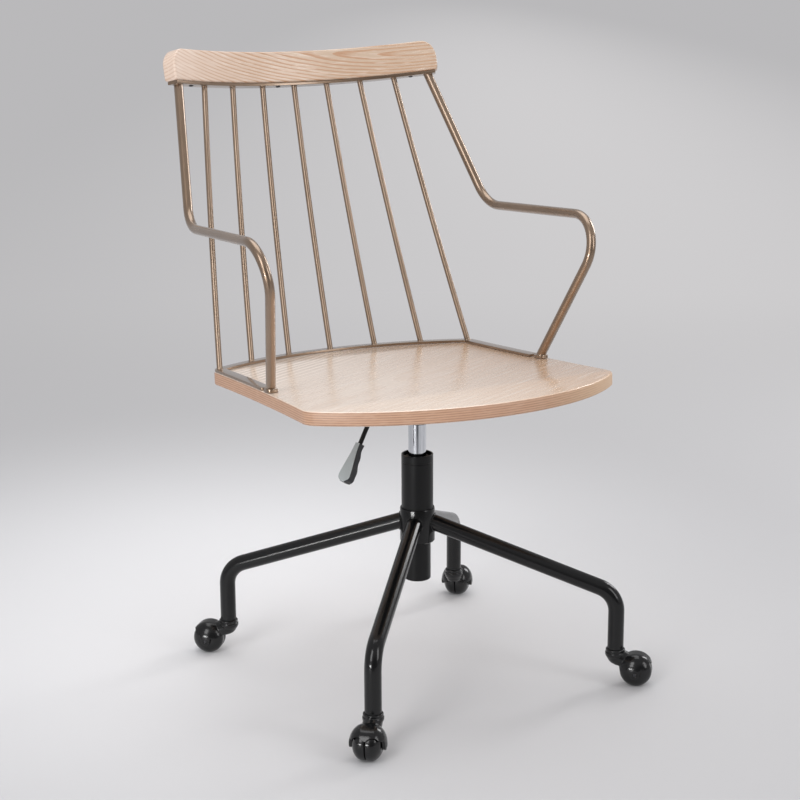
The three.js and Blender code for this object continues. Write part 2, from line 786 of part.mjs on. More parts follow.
function leverRod() {
  const line = new BentLine([
    new THREE.Vector3(-leverTailLength, 0, leverHeight),
    new THREE.Vector3(leverShoulderReach, 0, leverHeight),
    new THREE.Vector3(leverKneeReach, 0, leverKneeHeight),
    gripTop.clone().addScaledVector(paddleRun, leverInsert),
  ], [leverShoulderBend, leverKneeBend]);
  return bentTube(line, leverRadius, 0, spindleSegments);
}
addPiece(leverFrame, 'lever_rod', leverRod(), satinBlack);

// The paddle widens and thickens along its run, has a rounded end, and finger scallops underneath.
function leverPaddle() {
  const rings = [];
  for (let step = 0; step <= paddleSteps; step += 1) {
    const share = step / paddleSteps;
    const run = paddleLength * share;
    const fromEnd = Math.max(1 - (paddleLength - run) / paddleEndRound, 0);
    const ending = Math.sqrt(Math.max(1 - fromEnd ** 2, paddleEndShare));
    const widening = THREE.MathUtils.smoothstep(share, 0, 1);
    const halfWidth = (THREE.MathUtils.lerp(paddleRootWidth, paddleWidth, widening) / 2) * ending;
    const scallop = paddleScallop * Math.sin(Math.PI * paddleScallops * share) ** 2;
    const depth = THREE.MathUtils.lerp(paddleRootThickness, paddleThickness, share) - scallop;
    const face = paddleRootThickness / 2;
    const round = Math.min(paddleArris, halfWidth / 2);
    const section = outlineOf([
      [-halfWidth, face - depth, round], [halfWidth, face - depth, round],
      [halfWidth, face, round / 2], [-halfWidth, face, round / 2],
    ]);
    rings.push(section.map((point) => gripTop.clone()
      .addScaledVector(paddleRun, run)
      .addScaledVector(paddleFace, point.y)
      .add(new THREE.Vector3(0, point.x, 0))));
  }
  const knee = new THREE.Vector3(leverKneeReach, 0, leverKneeHeight);
  const bore = bentTube(new BentLine([
    knee, gripTop.clone().addScaledVector(paddleRun, leverInsert + seatedGap),
  ], []), leverRadius + seatedGap, 0, spindleSegments);
  return simplified(cut(loft(rings), bore));
}
addPiece(leverFrame, 'lever_paddle', leverPaddle(), greyPlastic);

// Column
function tubeInnerRadiusAt(outer) {
  return outer - tubeWall;
}

function outerTube() {
  return turned([
    [rodRadius + runningGap, tubeFoot], [tubeLowerRadius, tubeFoot],
    [tubeLowerRadius, tubeTaperFoot], [tubeRadius, tubeTaperTop], [tubeRadius, tubeTop],
    [tubeInnerRadiusAt(tubeRadius), tubeTop], [tubeInnerRadiusAt(tubeRadius), tubeTaperTop],
    [tubeInnerRadiusAt(tubeLowerRadius), tubeTaperFoot],
    [tubeInnerRadiusAt(tubeLowerRadius), tubeFoot + tubeFloor],
    [rodRadius + runningGap, tubeFoot + tubeFloor],
  ]);
}
addPiece(chair, 'outer_tube', outerTube(), satinBlack);

function guideBushing() {
  const top = tubeTop - bushingRecess;
  const bushingFoot = tubeTaperTop + bushingFootRise;
  const outer = tubeInnerRadiusAt(tubeRadius) - seatedGap;
  const bore = cylinderRadius + runningGap;
  return turned([
    [bore, bushingFoot], [outer, bushingFoot], [outer, top - bushingChamfer], [outer - bushingChamfer, top],
    [bore + bushingChamfer, top], [bore, top - bushingChamfer],
  ]);
}
addPiece(chair, 'guide_bushing', guideBushing(), nylon);

function innerCylinder() {
  const bore = cylinderRadius - cylinderWall;
  const sealBore = rodRadius + runningGap;
  const underTop = cylinderTop - cylinderTopWall;
  return turned([
    [sealBore, cylinderFoot], [cylinderRadius, cylinderFoot], [cylinderRadiusAt(housingFoot), housingFoot],
    [cylinderRadiusAt(cylinderTop), cylinderTop], [buttonRadius + runningGap, cylinderTop],
    [buttonRadius + runningGap, underTop], [bore, underTop], [bore, cylinderFoot + cylinderSealHeight],
    [sealBore, cylinderFoot + cylinderSealHeight],
  ]);
}
addPiece(chair, 'inner_cylinder', innerCylinder(), chrome);

const bearingFoot = tubeFoot + tubeFloor + seatedGap;
const bearingTop = bearingFoot + bearingHeight;

function pistonRod() {
  const collarFoot = bearingTop + seatedGap;
  const collarTop = collarFoot + rodCollarHeight;
  const headRadius = cylinderRadius - cylinderWall - runningGap;
  const rodTop = tubeFoot + rodLength;
  return turned([
    [0, tubeFoot - rodTailLength], [rodRadius, tubeFoot - rodTailLength], [rodRadius, collarFoot],
    [rodCollarRadius, collarFoot], [rodCollarRadius, collarTop], [rodRadius, collarTop],
    [rodRadius, rodTop - rodHeadHeight], [headRadius, rodTop - rodHeadHeight], [headRadius, rodTop],
    [0, rodTop],
  ], pinSegments);
}
addPiece(chair, 'piston_rod', pistonRod(), steel);

function thrustBearing() {
  const bore = rodRadius + runningGap;
  const [lower, upper] = [bearingFoot + bearingHeight / 3, bearingTop - bearingHeight / 3];
  const waist = bearingRadius - bearingWaist;
  return turned([
    [bore, bearingFoot], [bearingRadius, bearingFoot], [bearingRadius, lower], [waist, lower],
    [waist, upper], [bearingRadius, upper], [bearingRadius, bearingTop], [bore, bearingTop],
  ], pinSegments);
}
addPiece(chair, 'thrust_bearing', thrustBearing(), steel);

function valveButton() {
  const flangeTop = cylinderTop - cylinderTopWall - seatedGap;
  const flangeFoot = flangeTop - buttonFlangeHeight;
  const top = cylinderTop + buttonRise;
  return turned([
    [0, flangeFoot], [buttonFlangeRadius, flangeFoot], [buttonFlangeRadius, flangeTop],
    [buttonRadius, flangeTop], [buttonRadius, top], [0, top],
  ], pinSegments);
}
addPiece(chair, 'valve_button', valveButton(), steel);

// Base
function hubSleeve() {
  const topBore = THREE.MathUtils.mapLinear(hubTop, tubeTaperFoot, tubeTaperTop, tubeLowerRadius, tubeRadius);
  return turned([
    [tubeLowerRadius + seatedGap, tubeTaperFoot], [hubRadius - hubChamfer, tubeTaperFoot],
    [hubRadius, tubeTaperFoot + hubChamfer], [hubRadius, hubTop - hubChamfer],
    [hubRadius - hubChamfer, hubTop], [topBore + seatedGap, hubTop],
  ]);
}
addPiece(chair, 'hub_sleeve', hubSleeve(), glossBlack);

function leg() {
  const heightAt = (reach) => THREE.MathUtils.lerp(legRootHeight, legShoulderHeight, reach / legReach);
  const rootReach = hubRadius / 2;
  const line = new BentLine([
    new THREE.Vector3(rootReach, 0, heightAt(rootReach)),
    new THREE.Vector3(legReach, 0, heightAt(legReach)),
    new THREE.Vector3(legReach, 0, legFoot),
  ], [legBend]);
  const hubSpaceRadius = (hubRadius + seatedGap) / Math.cos(Math.PI / turnSegments);
  const hubSpace = pin(hubSpaceRadius, tubeTaperFoot - overrun, hubTop + overrun, turnSegments);
  return cut(bentTube(line, legRadius, legWall, legSegments), hubSpace);
}

function legSocket() {
  const flangeTop = legFoot - seatedGap;
  const flangeFoot = flangeTop - socketFlange;
  const body = legRadius - legWall - socketFit;
  const bore = stemRadius + runningGap;
  return turned([
    [bore, flangeFoot], [legRadius, flangeFoot], [legRadius, flangeTop], [body, flangeTop],
    [body, flangeFoot + socketLength], [bore, flangeFoot + socketLength],
  ], pinSegments);
}

// Casters
const axleHeight = wheelRadius;

function casterStem() {
  const grooveTop = stemTop - 3 * stemChamfer;
  return turned([
    [0, stemFoot], [stemRadius, stemFoot], [stemRadius, grooveTop - stemChamfer],
    [stemRadius - stemGroove, grooveTop - stemChamfer], [stemRadius - stemGroove, grooveTop],
    [stemRadius, grooveTop], [stemRadius, stemTop - stemChamfer], [stemRadius - stemChamfer, stemTop],
    [0, stemTop],
  ], pinSegments);
}

// Half of a ball wheel's profile from its tread to its side: a flat tread, then an elliptical crown.
function crownProfile(radius, crownLength, sideWidth) {
  const points = [];
  const reach = Math.acos(Math.min((sideWidth - wheelTreadHalfWidth) / crownLength, 1));
  for (let step = 0; step <= crownSteps; step += 1) {
    const angle = THREE.MathUtils.lerp(Math.PI / 2, reach, step / crownSteps);
    points.push([radius * Math.sin(angle), wheelTreadHalfWidth + crownLength * Math.cos(angle)]);
  }
  return points;
}

function twoSided(crown) {
  const mirrored = crown.map(([radius, place]) => [radius, -place]);
  return [[0, -crown.at(-1)[1]], ...mirrored.reverse(), ...crown, [0, crown.at(-1)[1]]];
}

function wheel(side) {
  const round = wheelRadius / Math.cos(Math.PI / wheelSegments); // flats stand on the floor
  const bore = axleRadius + runningGap;
  const profile = [
    [bore, wheelHalfGap], [round, wheelHalfGap],
    ...crownProfile(round, wheelCrownLength, wheelHalfWidth),
    [bore, wheelHalfWidth],
  ];
  const geometry = turnedOnAxle(profile.map(([radius, place]) => [radius, side * place]));
  return geometry.translate(casterTrail, 0, axleHeight);
}

const hoodRadius = wheelRadius + hoodClearance + hoodWall;
const hoodCrownLength = wheelCrownLength + hoodClearance + hoodSideWall;
const hoodHalfWidth = wheelTreadHalfWidth + hoodCrownLength;

function casterAxle() {
  const end = hoodHalfWidth - axleEndInset;
  return turnedOnAxle([[0, -end], [axleRadius, -end], [axleRadius, end], [0, end]], pinSegments)
    .translate(casterTrail, 0, axleHeight);
}

// The opening that shows the wheels: all below a slanting lip, but for an ear round each axle end.
function hoodWindow() {
  const [lipX, lipZ] = [hoodRadius * Math.cos(hoodLipAngle), hoodRadius * Math.sin(hoodLipAngle)];
  const slope = lipZ / (lipX + hoodRadius);
  const far = 2 * hoodRadius;
  const lipAt = (x) => (x + hoodRadius) * slope;
  const belowLip = outlineOf([[-far, lipAt(-far)], [-far, -far], [far, -far], [far, lipAt(far)]]);
  const below = plate(belowLip, -far, 2 * far);
  const ear = plate(outlineOf([
    [-hoodEarRadius, far], [-hoodEarRadius, -hoodEarRadius, hoodEarRadius * hoodEarRoundShare],
    [hoodEarRadius, -hoodEarRadius, hoodEarRadius * hoodEarRoundShare], [hoodEarRadius, far],
  ]), -far - overrun, 2 * (far + overrun));
  return cut(below, ear).rotateX(Math.PI / 2);
}

// The neck leads from the collar down into the ball's side.
function neck() {
  const ringAt = (reach, height, tilt) => {
    const across = new THREE.Vector3(Math.cos(tilt), 0, Math.sin(tilt));
    return circle(neckRadius, pinSegments).map((point) => new THREE.Vector3(reach, point.y, height)
      .addScaledVector(across, point.x));
  };
  return loft([
    ringAt(0, neckRootHeight + collarRingHeight, 0),
    ringAt(neckEndReach, neckEndHeight, neckEndTilt),
  ]);
}

function collar() {
  const ringFoot = collarTop - collarRingHeight;
  const lowerFoot = ringFoot - collarRingHeight;
  const upper = collarRadius - collarGroove;
  return turned([
    [0, neckRootHeight], [neckRadius, neckRootHeight], [neckRadius, lowerFoot - collarGroove],
    [collarRadius, lowerFoot], [collarRadius, ringFoot - collarGroove], [upper - collarGroove, ringFoot],
    [upper, ringFoot + collarGroove], [upper, collarTop - collarGroove], [upper - collarGroove, collarTop],
    [0, collarTop],
  ], hoodCollarSegments);
}

function casterHood() {
  const shell = turnedOnAxle(twoSided(crownProfile(hoodRadius, hoodCrownLength, hoodHalfWidth)))
    .translate(casterTrail, 0, axleHeight);
  const room = turnedOnAxle(twoSided(crownProfile(
    wheelRadius + hoodClearance, wheelCrownLength + hoodClearance, wheelHalfWidth + seatedGap,
  ))).translate(casterTrail, 0, axleHeight);
  const axleHole = turnedOnAxle([
    [0, -hoodHalfWidth - overrun], [axleRadius + seatedGap, -hoodHalfWidth - overrun],
    [axleRadius + seatedGap, hoodHalfWidth + overrun], [0, hoodHalfWidth + overrun],
  ], pinSegments).translate(casterTrail, 0, axleHeight);
  const stemHole = pin(stemRadius + seatedGap, stemFoot - seatedGap, collarTop + overrun);
  const window = hoodWindow().translate(casterTrail, 0, axleHeight);
  const arch = pin(hoodArchRadius, -neckRadius - overrun, casterTrail, turnSegments)
    .rotateY(Math.PI / 2).translate(0, 0, axleHeight - hoodArchDrop);
  return simplified(cut(join(shell, neck(), collar()), room, window, arch, axleHole, stemHole));
}

// One leg with its socket and caster, turned about the column for each leg
const legPieces = {
  leg: [leg(), glossBlack],
  leg_socket: [legSocket(), nylon],
};
const casterPieces = {
  caster_stem: [casterStem(), steel],
  caster_hood: [casterHood(), blackPlastic],
  caster_axle: [casterAxle(), steel],
  caster_wheel_a: [wheel(1), blackPlastic],
  caster_wheel_b: [wheel(-1), blackPlastic],
};

legNames.forEach((place, i) => {
  const legFrame = new THREE.Group();
  legFrame.rotation.z = firstLegAzimuth - (Math.PI / 2) * i;
  chair.add(legFrame);
  addPiece(legFrame, `leg_${place}`, ...legPieces.leg);
  const casterFrame = new THREE.Group();
  casterFrame.position.x = legReach;
  legFrame.add(casterFrame);
  addPiece(casterFrame, `leg_socket_${place}`, ...legPieces.leg_socket);
  Object.entries(casterPieces).forEach(([name, piece]) => {
    addPiece(casterFrame, `${name}_${place}`, ...piece);
  });
});

// The chair's plan outline is brought over the origin.
const outline = new THREE.Box3().setFromObject(chair);
chair.position.x = -(outline.min.x + outline.max.x) / 2;
chair.position.y = -(outline.min.y + outline.max.y) / 2;

export default chair;
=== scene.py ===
import math
import bpy
from mathutils import Matrix, Vector


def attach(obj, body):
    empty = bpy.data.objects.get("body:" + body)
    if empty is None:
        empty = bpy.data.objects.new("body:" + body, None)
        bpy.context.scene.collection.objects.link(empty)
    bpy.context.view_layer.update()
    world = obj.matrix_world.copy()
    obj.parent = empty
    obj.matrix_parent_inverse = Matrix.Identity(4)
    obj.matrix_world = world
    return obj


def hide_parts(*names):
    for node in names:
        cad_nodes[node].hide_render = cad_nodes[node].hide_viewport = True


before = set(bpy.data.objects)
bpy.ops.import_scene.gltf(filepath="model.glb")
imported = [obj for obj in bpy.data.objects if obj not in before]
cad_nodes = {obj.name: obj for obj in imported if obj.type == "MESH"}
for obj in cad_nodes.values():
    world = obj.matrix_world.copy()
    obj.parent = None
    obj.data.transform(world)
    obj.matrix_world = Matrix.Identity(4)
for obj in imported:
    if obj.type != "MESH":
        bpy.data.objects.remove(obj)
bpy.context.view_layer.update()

# Studio: a wide pale floor that turns into a plain grey ground far behind the chair, soft lamps round
# it, and the camera where the photograph was taken from. The end of the room behind the camera is
# unlit, which only the chair's gloss shows.
column_y = -0.0796437  # the gas lift's axis, which the seat turns on
camera_place = (-1.30094, -2.39011 + column_y, 1.12686)
camera_yaw, camera_dip, camera_roll = 28.0, 14.11, 0.257  # in degrees
frame_width, focal_length = 800, 1808  # in pixels of the photograph
floor_bright, floor_dim = (0.765, 0.755, 0.763, 1), (0.475, 0.466, 0.472, 1)
backdrop_bright, backdrop_dim = (0.63, 0.62, 0.628, 1), (0.49, 0.485, 0.495, 1)
floor_unlit, wall_unlit = (0.07, 0.07, 0.075, 1), (0.16, 0.16, 0.165, 1)
unlit_start, unlit_way = -0.95, (-0.14, -0.99, 0)
daylight, room_strength = (0.95, 0.97, 1, 1), 0.66


def deselect():
    bpy.ops.object.select_all(action="DESELECT")


def node_material(name):
    material = bpy.data.materials.new(name)
    material.use_nodes = True
    return material, material.node_tree.nodes, material.node_tree.links


def put_material(piece, material):
    piece.data.materials.clear()
    piece.data.materials.append(material)


def value_of(nodes, operation, first, second):
    """A Math node of two inputs, each a number or another node's output."""
    node = nodes.new("ShaderNodeMath")
    node.operation = operation
    for socket, given in zip(node.inputs, (first, second)):
        if isinstance(given, (int, float)):
            socket.default_value = given
        else:
            node.id_data.links.new(given, socket)
    return node.outputs["Value"]


def mix_of(nodes, factor, first, second):
    """A colour between first and second, each a colour or another node's output."""
    node = nodes.new("ShaderNodeMix")
    node.data_type = "RGBA"
    for socket, given in zip((node.inputs[0], node.inputs[6], node.inputs[7]), (factor, first, second)):
        if isinstance(given, (int, float, tuple)):
            socket.default_value = given
        else:
            node.id_data.links.new(given, socket)
    return node.outputs[2]


def band_of(nodes, value, low, high):
    """Rises smoothly from 0, where the value is low, to 1, where it is high."""
    node = nodes.new("ShaderNodeMapRange")
    node.interpolation_type = "SMOOTHSTEP"
    node.inputs["From Min"].default_value = low
    node.inputs["From Max"].default_value = high
    node.id_data.links.new(value, node.inputs["Value"])
    return node.outputs["Result"]


def pool_of_light(nodes, place, middle, reach, edge, bright, dim):
    """A colour that goes from bright to dim around a place on the floor."""
    spread = nodes.new("ShaderNodeMapping")
    spread.vector_type = "TEXTURE"
    spread.inputs["Location"].default_value = (*middle, 0)
    spread.inputs["Scale"].default_value = (*reach, 1)
    spread.id_data.links.new(place, spread.inputs["Vector"])
    away = nodes.new("ShaderNodeVectorMath")
    away.operation = "LENGTH"
    away.id_data.links.new(spread.outputs["Vector"], away.inputs[0])
    return mix_of(nodes, band_of(nodes, away.outputs["Value"], *edge), bright, dim)


deselect()
bpy.ops.mesh.primitive_plane_add(size=120, location=(0, 0, 0))
floor = bpy.context.object
floor.name = "studio_floor"
floor_paint, nodes, links = node_material("studio floor")
turned = nodes.new("ShaderNodeMapping")
turned.inputs["Rotation"].default_value = (0, 0, math.radians(camera_yaw))
links.new(nodes.new("ShaderNodeTexCoord").outputs["Object"], turned.inputs["Vector"])
place = turned.outputs["Vector"]
apart = nodes.new("ShaderNodeSeparateXYZ")
links.new(place, apart.inputs["Vector"])
lit = pool_of_light(nodes, place, (-0.3, 0.3), (1, 1.2), (0.1, 1.2), floor_bright, floor_dim)
unlit = pool_of_light(nodes, place, (0.1, -2.3), (0.75, 1.25), (0.45, 1.0), floor_unlit, floor_dim)
in_gloss = nodes.new("ShaderNodeLightPath").outputs["Is Glossy Ray"]
by_camera = value_of(nodes, "LESS_THAN", apart.outputs["Y"], unlit_start)
unlit_in_gloss = value_of(nodes, "MULTIPLY", in_gloss, by_camera)
ground = nodes["Principled BSDF"]
links.new(mix_of(nodes, unlit_in_gloss, lit, unlit), ground.inputs["Base Color"])
ground.inputs["Roughness"].default_value = 0.6
glow = nodes.new("ShaderNodeEmission")
links.new(pool_of_light(nodes, place, (1.0, 9.0), (3.2, 30), (0.0, 1.0), backdrop_bright, backdrop_dim),
          glow.inputs["Color"])
either = nodes.new("ShaderNodeMixShader")
links.new(band_of(nodes, apart.outputs["Y"], 0.2, 3.2), either.inputs["Fac"])
links.new(ground.outputs["BSDF"], either.inputs[1])
links.new(glow.outputs["Emission"], either.inputs[2])
links.new(either.outputs["Shader"], nodes["Material Output"].inputs["Surface"])
put_material(floor, floor_paint)

world = bpy.context.scene.world or bpy.data.worlds.new("studio")
bpy.context.scene.world = world
world.use_nodes = True
nodes, links = world.node_tree.nodes, world.node_tree.links
room = nodes["Background"]
room.inputs["Color"].default_value = daylight
room.inputs["Strength"].default_value = room_strength
facing = nodes.new("ShaderNodeVectorMath")
facing.operation = "DOT_PRODUCT"
facing.inputs[1].default_value = unlit_way
links.new(nodes.new("ShaderNodeTexCoord").outputs["Generated"], facing.inputs[0])
ray = nodes.new("ShaderNodeLightPath").outputs
unlit_end = band_of(nodes, facing.outputs["Value"], 0.70, 0.94)
end_in_gloss = value_of(nodes, "MULTIPLY", unlit_end, ray["Is Glossy Ray"])
seen = nodes.new("ShaderNodeBackground")
links.new(mix_of(nodes, end_in_gloss, backdrop_dim, wall_unlit), seen.inputs["Color"])
straight_or_gloss = value_of(nodes, "MAXIMUM", ray["Is Camera Ray"], ray["Is Glossy Ray"])
any_view = value_of(nodes, "MAXIMUM", straight_or_gloss, ray["Is Transmission Ray"])
pick = nodes.new("ShaderNodeMixShader")
links.new(any_view, pick.inputs["Fac"])
links.new(room.outputs["Background"], pick.inputs[1])
links.new(seen.outputs["Background"], pick.inputs[2])
links.new(pick.outputs["Shader"], nodes["World Output"].inputs["Surface"])

for name, where, aim_height, size, power in (
        ("key light", (-2.6, -1.6, 2.4), 0.5, (1.2, 2.2), 38),
        ("fill light", (1.7, -2.9, 1.8), 0.4, (1.0, 2.0), 24),
        ("top light", (0.3, 0.6, 3.2), 0.4, (2.4, 2.4), 34),
        ("side light", (2.8, 0.55, 1.6), 0.45, (0.6, 1.3), 22),
        ("strip light", (-3.0, -1.85, 0.5), 0.3, (1.2, 0.14), 30)):
    bpy.ops.object.light_add(type="AREA", location=where)
    lamp = bpy.context.object
    lamp.name = name
    lamp.data.shape = "RECTANGLE"
    lamp.data.size, lamp.data.size_y = size
    lamp.data.energy = power
    lamp.rotation_euler = (Vector((0, 0, aim_height)) - Vector(where)).to_track_quat("-Z", "Y").to_euler()

bpy.ops.object.camera_add()
camera = bpy.context.object
turn = Matrix.Rotation(math.radians(-camera_yaw), 4, "Z")
turn = turn @ Matrix.Rotation(math.radians(90 - camera_dip), 4, "X")
roll = Matrix.Rotation(math.radians(-camera_roll), 4, "Z")
camera.matrix_world = Matrix.Translation(camera_place) @ turn @ roll
camera.data.sensor_width = 36
camera.data.lens = 36 * focal_length / frame_width
bpy.context.scene.camera = camera
bpy.context.scene.view_settings.view_transform = "Standard"

# Seat panel: oak plywood of about a dozen plies, cut to outline, with its arrises rounded and its face
# limed and lacquered. The band and the arms stand on it, and it is bolted up from below.
seat_top, seat_tilt = 0.481, math.radians(3.7)
seat_thickness, seat_arris = 0.021, 0.003
front_radius, front_depth, front_half = 0.355, 0.267, 0.262
rear_radius, rear_depth, rear_half = 0.435, 0.318, 0.240
front_middle, rear_middle = front_radius - front_depth, rear_depth - rear_radius
front_rounding, rear_rounding = 0.015, 0.012  # how far from each corner its round starts
waist = Vector((0.242, 0.060))  # each side leans in towards this place
seat_frame = Matrix.Translation((0, column_y, seat_top)) @ Matrix.Rotation(-seat_tilt, 4, "X")
seat_up = seat_frame.to_3x3() @ Vector((0, 0, 1))
quarter = math.pi / 2


def arc(radius, start, end, middle=(0, 0), steps=48):
    """Points on an arc. The angles run from +X towards +Y."""
    angles = [start + (end - start) * i / steps for i in range(steps + 1)]
    return [Vector((middle[0] + radius * math.cos(a), middle[1] + radius * math.sin(a))) for a in angles]


def bow(start, corner, end, steps=24):
    """Points on the curve from start to end that leans towards corner."""
    shares = [i / steps for i in range(steps + 1)]
    return [start * (1 - t) ** 2 + corner * 2 * t * (1 - t) + end * t ** 2 for t in shares]


def towards(start, aim, length):
    return start + (aim - start).normalized() * length


def mirrored(half):
    """The whole outline from its right half, which runs from the front's middle to the rear's."""
    return half + [Vector((-p.x, p.y)) for p in reversed(half[1:-1])]


def inset(outline, distance):
    """An anticlockwise outline, moved in by that distance."""
    moved = []
    for i, point in enumerate(outline):
        run = (point - outline[i - 1]).normalized() + (outline[(i + 1) % len(outline)] - point).normalized()
        run.normalize()
        moved.append(point + Vector((-run.y, run.x)) * distance)
    return moved


def finished(name, body, material, stands_for, angle=35):
    """Names the piece at hand, shades it, and says what it rides on and stands for."""
    piece = bpy.context.object
    piece.name = name
    bpy.ops.object.shade_smooth_by_angle(angle=math.radians(angle))
    put_material(piece, material)
    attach(piece, body)
    if stands_for:
        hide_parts(*stands_for)
    return piece


def cleaned(piece):
    """Merges the piece's doubled points and turns its faces outwards."""
    bpy.ops.object.mode_set(mode="EDIT")
    bpy.ops.mesh.select_all(action="SELECT")
    bpy.ops.mesh.remove_doubles(threshold=1e-6)
    bpy.ops.mesh.normals_make_consistent(inside=False)
    bpy.ops.object.mode_set(mode="OBJECT")
    return piece


def flat_piece(outline, foot, thickness, arris, into):
    """A plate of that outline with rounded arrises, made from a filled flat curve."""
    deselect()
    bpy.ops.curve.primitive_bezier_circle_add()
    curve = bpy.context.object.data
    curve.splines.clear()
    spline = curve.splines.new("POLY")
    spline.points.add(len(outline) - 1)
    for knot, point in zip(spline.points, inset(outline, arris)):
        knot.co = (point.x, point.y, 0, 1)
    spline.use_cyclic_u = True
    curve.dimensions = "2D"
    curve.fill_mode = "BOTH"
    curve.extrude = thickness / 2 - arris
    curve.bevel_depth = arris
    curve.bevel_resolution = 3
    bpy.ops.object.convert(target="MESH")
    piece = bpy.context.object
    piece.data.transform(into @ Matrix.Translation((0, 0, foot + thickness / 2)))
    return cleaned(piece)


def seat_outline():
    front_turn, rear_turn = math.asin(front_half / front_radius), math.asin(rear_half / rear_radius)
    front_corner = Vector((front_half, front_middle - front_radius * math.cos(front_turn)))
    rear_corner = Vector((rear_half, rear_middle + rear_radius * math.cos(rear_turn)))
    side_start = towards(front_corner, waist, front_rounding)
    side_end = towards(rear_corner, waist, rear_rounding)
    front_turn -= front_rounding / front_radius
    rear_turn -= rear_rounding / rear_radius
    front = arc(front_radius, -quarter, front_turn - quarter, (0, front_middle))
    rear = arc(rear_radius, quarter - rear_turn, quarter, (0, rear_middle))
    half = front + bow(front[-1], front_corner, side_start, 12)[1:]
    half += bow(side_start, waist, side_end)[1:]
    half += bow(side_end, rear_corner, rear[0], 12)[1:]
    return mirrored(half + rear[1:])


def noise_of(nodes, vector, scale, detail, roughness=0.5):
    """Noise from 0 to 1 over that vector."""
    node = nodes.new("ShaderNodeTexNoise")
    node.inputs["Scale"].default_value = scale
    node.inputs["Detail"].default_value = detail
    node.inputs["Roughness"].default_value = roughness
    node.id_data.links.new(vector, node.inputs["Vector"])
    return node.outputs["Fac"]


def stretch_of(nodes, vector, scale):
    """The vector scaled along X, Y and Z, so that a pattern on it is long along the smallest."""
    node = nodes.new("ShaderNodeMapping")
    node.inputs["Scale"].default_value = scale
    node.id_data.links.new(vector, node.inputs["Vector"])
    return node.outputs["Vector"]


def skin_of(nodes, colour, roughness, height=None, relief=0.0, depth=0.0001):
    """The material's skin, with its colour, its roughness and a fine relief laid on."""
    skin = nodes["Principled BSDF"]
    links = skin.id_data.links
    links.new(colour, skin.inputs["Base Color"])
    if isinstance(roughness, float):
        skin.inputs["Roughness"].default_value = roughness
    else:
        links.new(roughness, skin.inputs["Roughness"])
    if height is not None:
        bump = nodes.new("ShaderNodeBump")
        bump.inputs["Strength"].default_value = relief
        bump.inputs["Distance"].default_value = depth
        links.new(height, bump.inputs["Height"])
        links.new(bump.outputs["Normal"], skin.inputs["Normal"])
    return skin


# Limed oak: growth rings cut at a slant, fine pores along the grain, and a pale lime film over both.
# A tone that changes slowly makes the rings stronger here and weaker there.
ring_width, ring_waver, seat_ring_spread = 0.0055, 0.008, 2.4
along_tone, along_waver, along_pores, along_lime = (2.2, 9, 9), (6, 22, 22), (14, 620, 620), (9, 380, 380)
pore_depth, lime_share, lime_white = 0.16, 0.30, (0.86, 0.78, 0.70, 1)
grain_relief, grain_depth = 0.09, 0.0002
oak_grain = bpy.data.node_groups.new("limed oak grain", "ShaderNodeTree")
for way, sockets in (("INPUT", {"Vector": "Vector", "Pale": "Color", "Line": "Color", "Contrast": "Float"}),
                     ("OUTPUT", {"Color": "Color", "Height": "Float", "Roughness": "Float"})):
    for label, kind in sockets.items():
        oak_grain.interface.new_socket(label, in_out=way, socket_type="NodeSocket" + kind)
nodes, links = oak_grain.nodes, oak_grain.links
given, made = nodes.new("NodeGroupInput").outputs, nodes.new("NodeGroupOutput").inputs
slow = noise_of(nodes, stretch_of(nodes, given["Vector"], along_tone), 1.0, 2.0)
soft = noise_of(nodes, stretch_of(nodes, given["Vector"], along_waver), 1.0, 4.5)
shift = nodes.new("ShaderNodeVectorMath")
shift.operation = "SCALE"
shift.inputs["Scale"].default_value = ring_waver
links.new(soft.node.outputs["Color"], shift.inputs[0])
warped = nodes.new("ShaderNodeVectorMath")
links.new(given["Vector"], warped.inputs[0])
links.new(shift.outputs["Vector"], warped.inputs[1])
rings = nodes.new("ShaderNodeTexWave")
rings.wave_type = "RINGS"
rings.rings_direction = "X"
rings.wave_profile = "SAW"
rings.inputs["Scale"].default_value = 2 * math.pi / (20 * ring_width)
links.new(warped.outputs["Vector"], rings.inputs["Vector"])
line = band_of(nodes, rings.outputs["Fac"], 0.35, 1.0)
fibres = noise_of(nodes, stretch_of(nodes, given["Vector"], along_pores), 1.0, 3.0, 0.6)
pores = band_of(nodes, fibres, 0.56, 0.70)
strength = value_of(nodes, "MULTIPLY", line, given["Contrast"])
strength = value_of(nodes, "MULTIPLY", strength, value_of(nodes, "ADD", slow, 0.35))
strength = value_of(nodes, "ADD", strength, value_of(nodes, "MULTIPLY", pores, pore_depth))
colour = mix_of(nodes, strength, given["Pale"], given["Line"])
film = noise_of(nodes, stretch_of(nodes, given["Vector"], along_lime), 1.0, 2.0)
lime = value_of(nodes, "MULTIPLY", band_of(nodes, film, 0.52, 0.72), lime_share)
links.new(mix_of(nodes, lime, colour, lime_white), made["Color"])
links.new(value_of(nodes, "SUBTRACT", 1.0, value_of(nodes, "MULTIPLY", pores, 0.6)), made["Height"])
links.new(value_of(nodes, "ADD", 0.26, value_of(nodes, "MULTIPLY", strength, 0.22)), made["Roughness"])


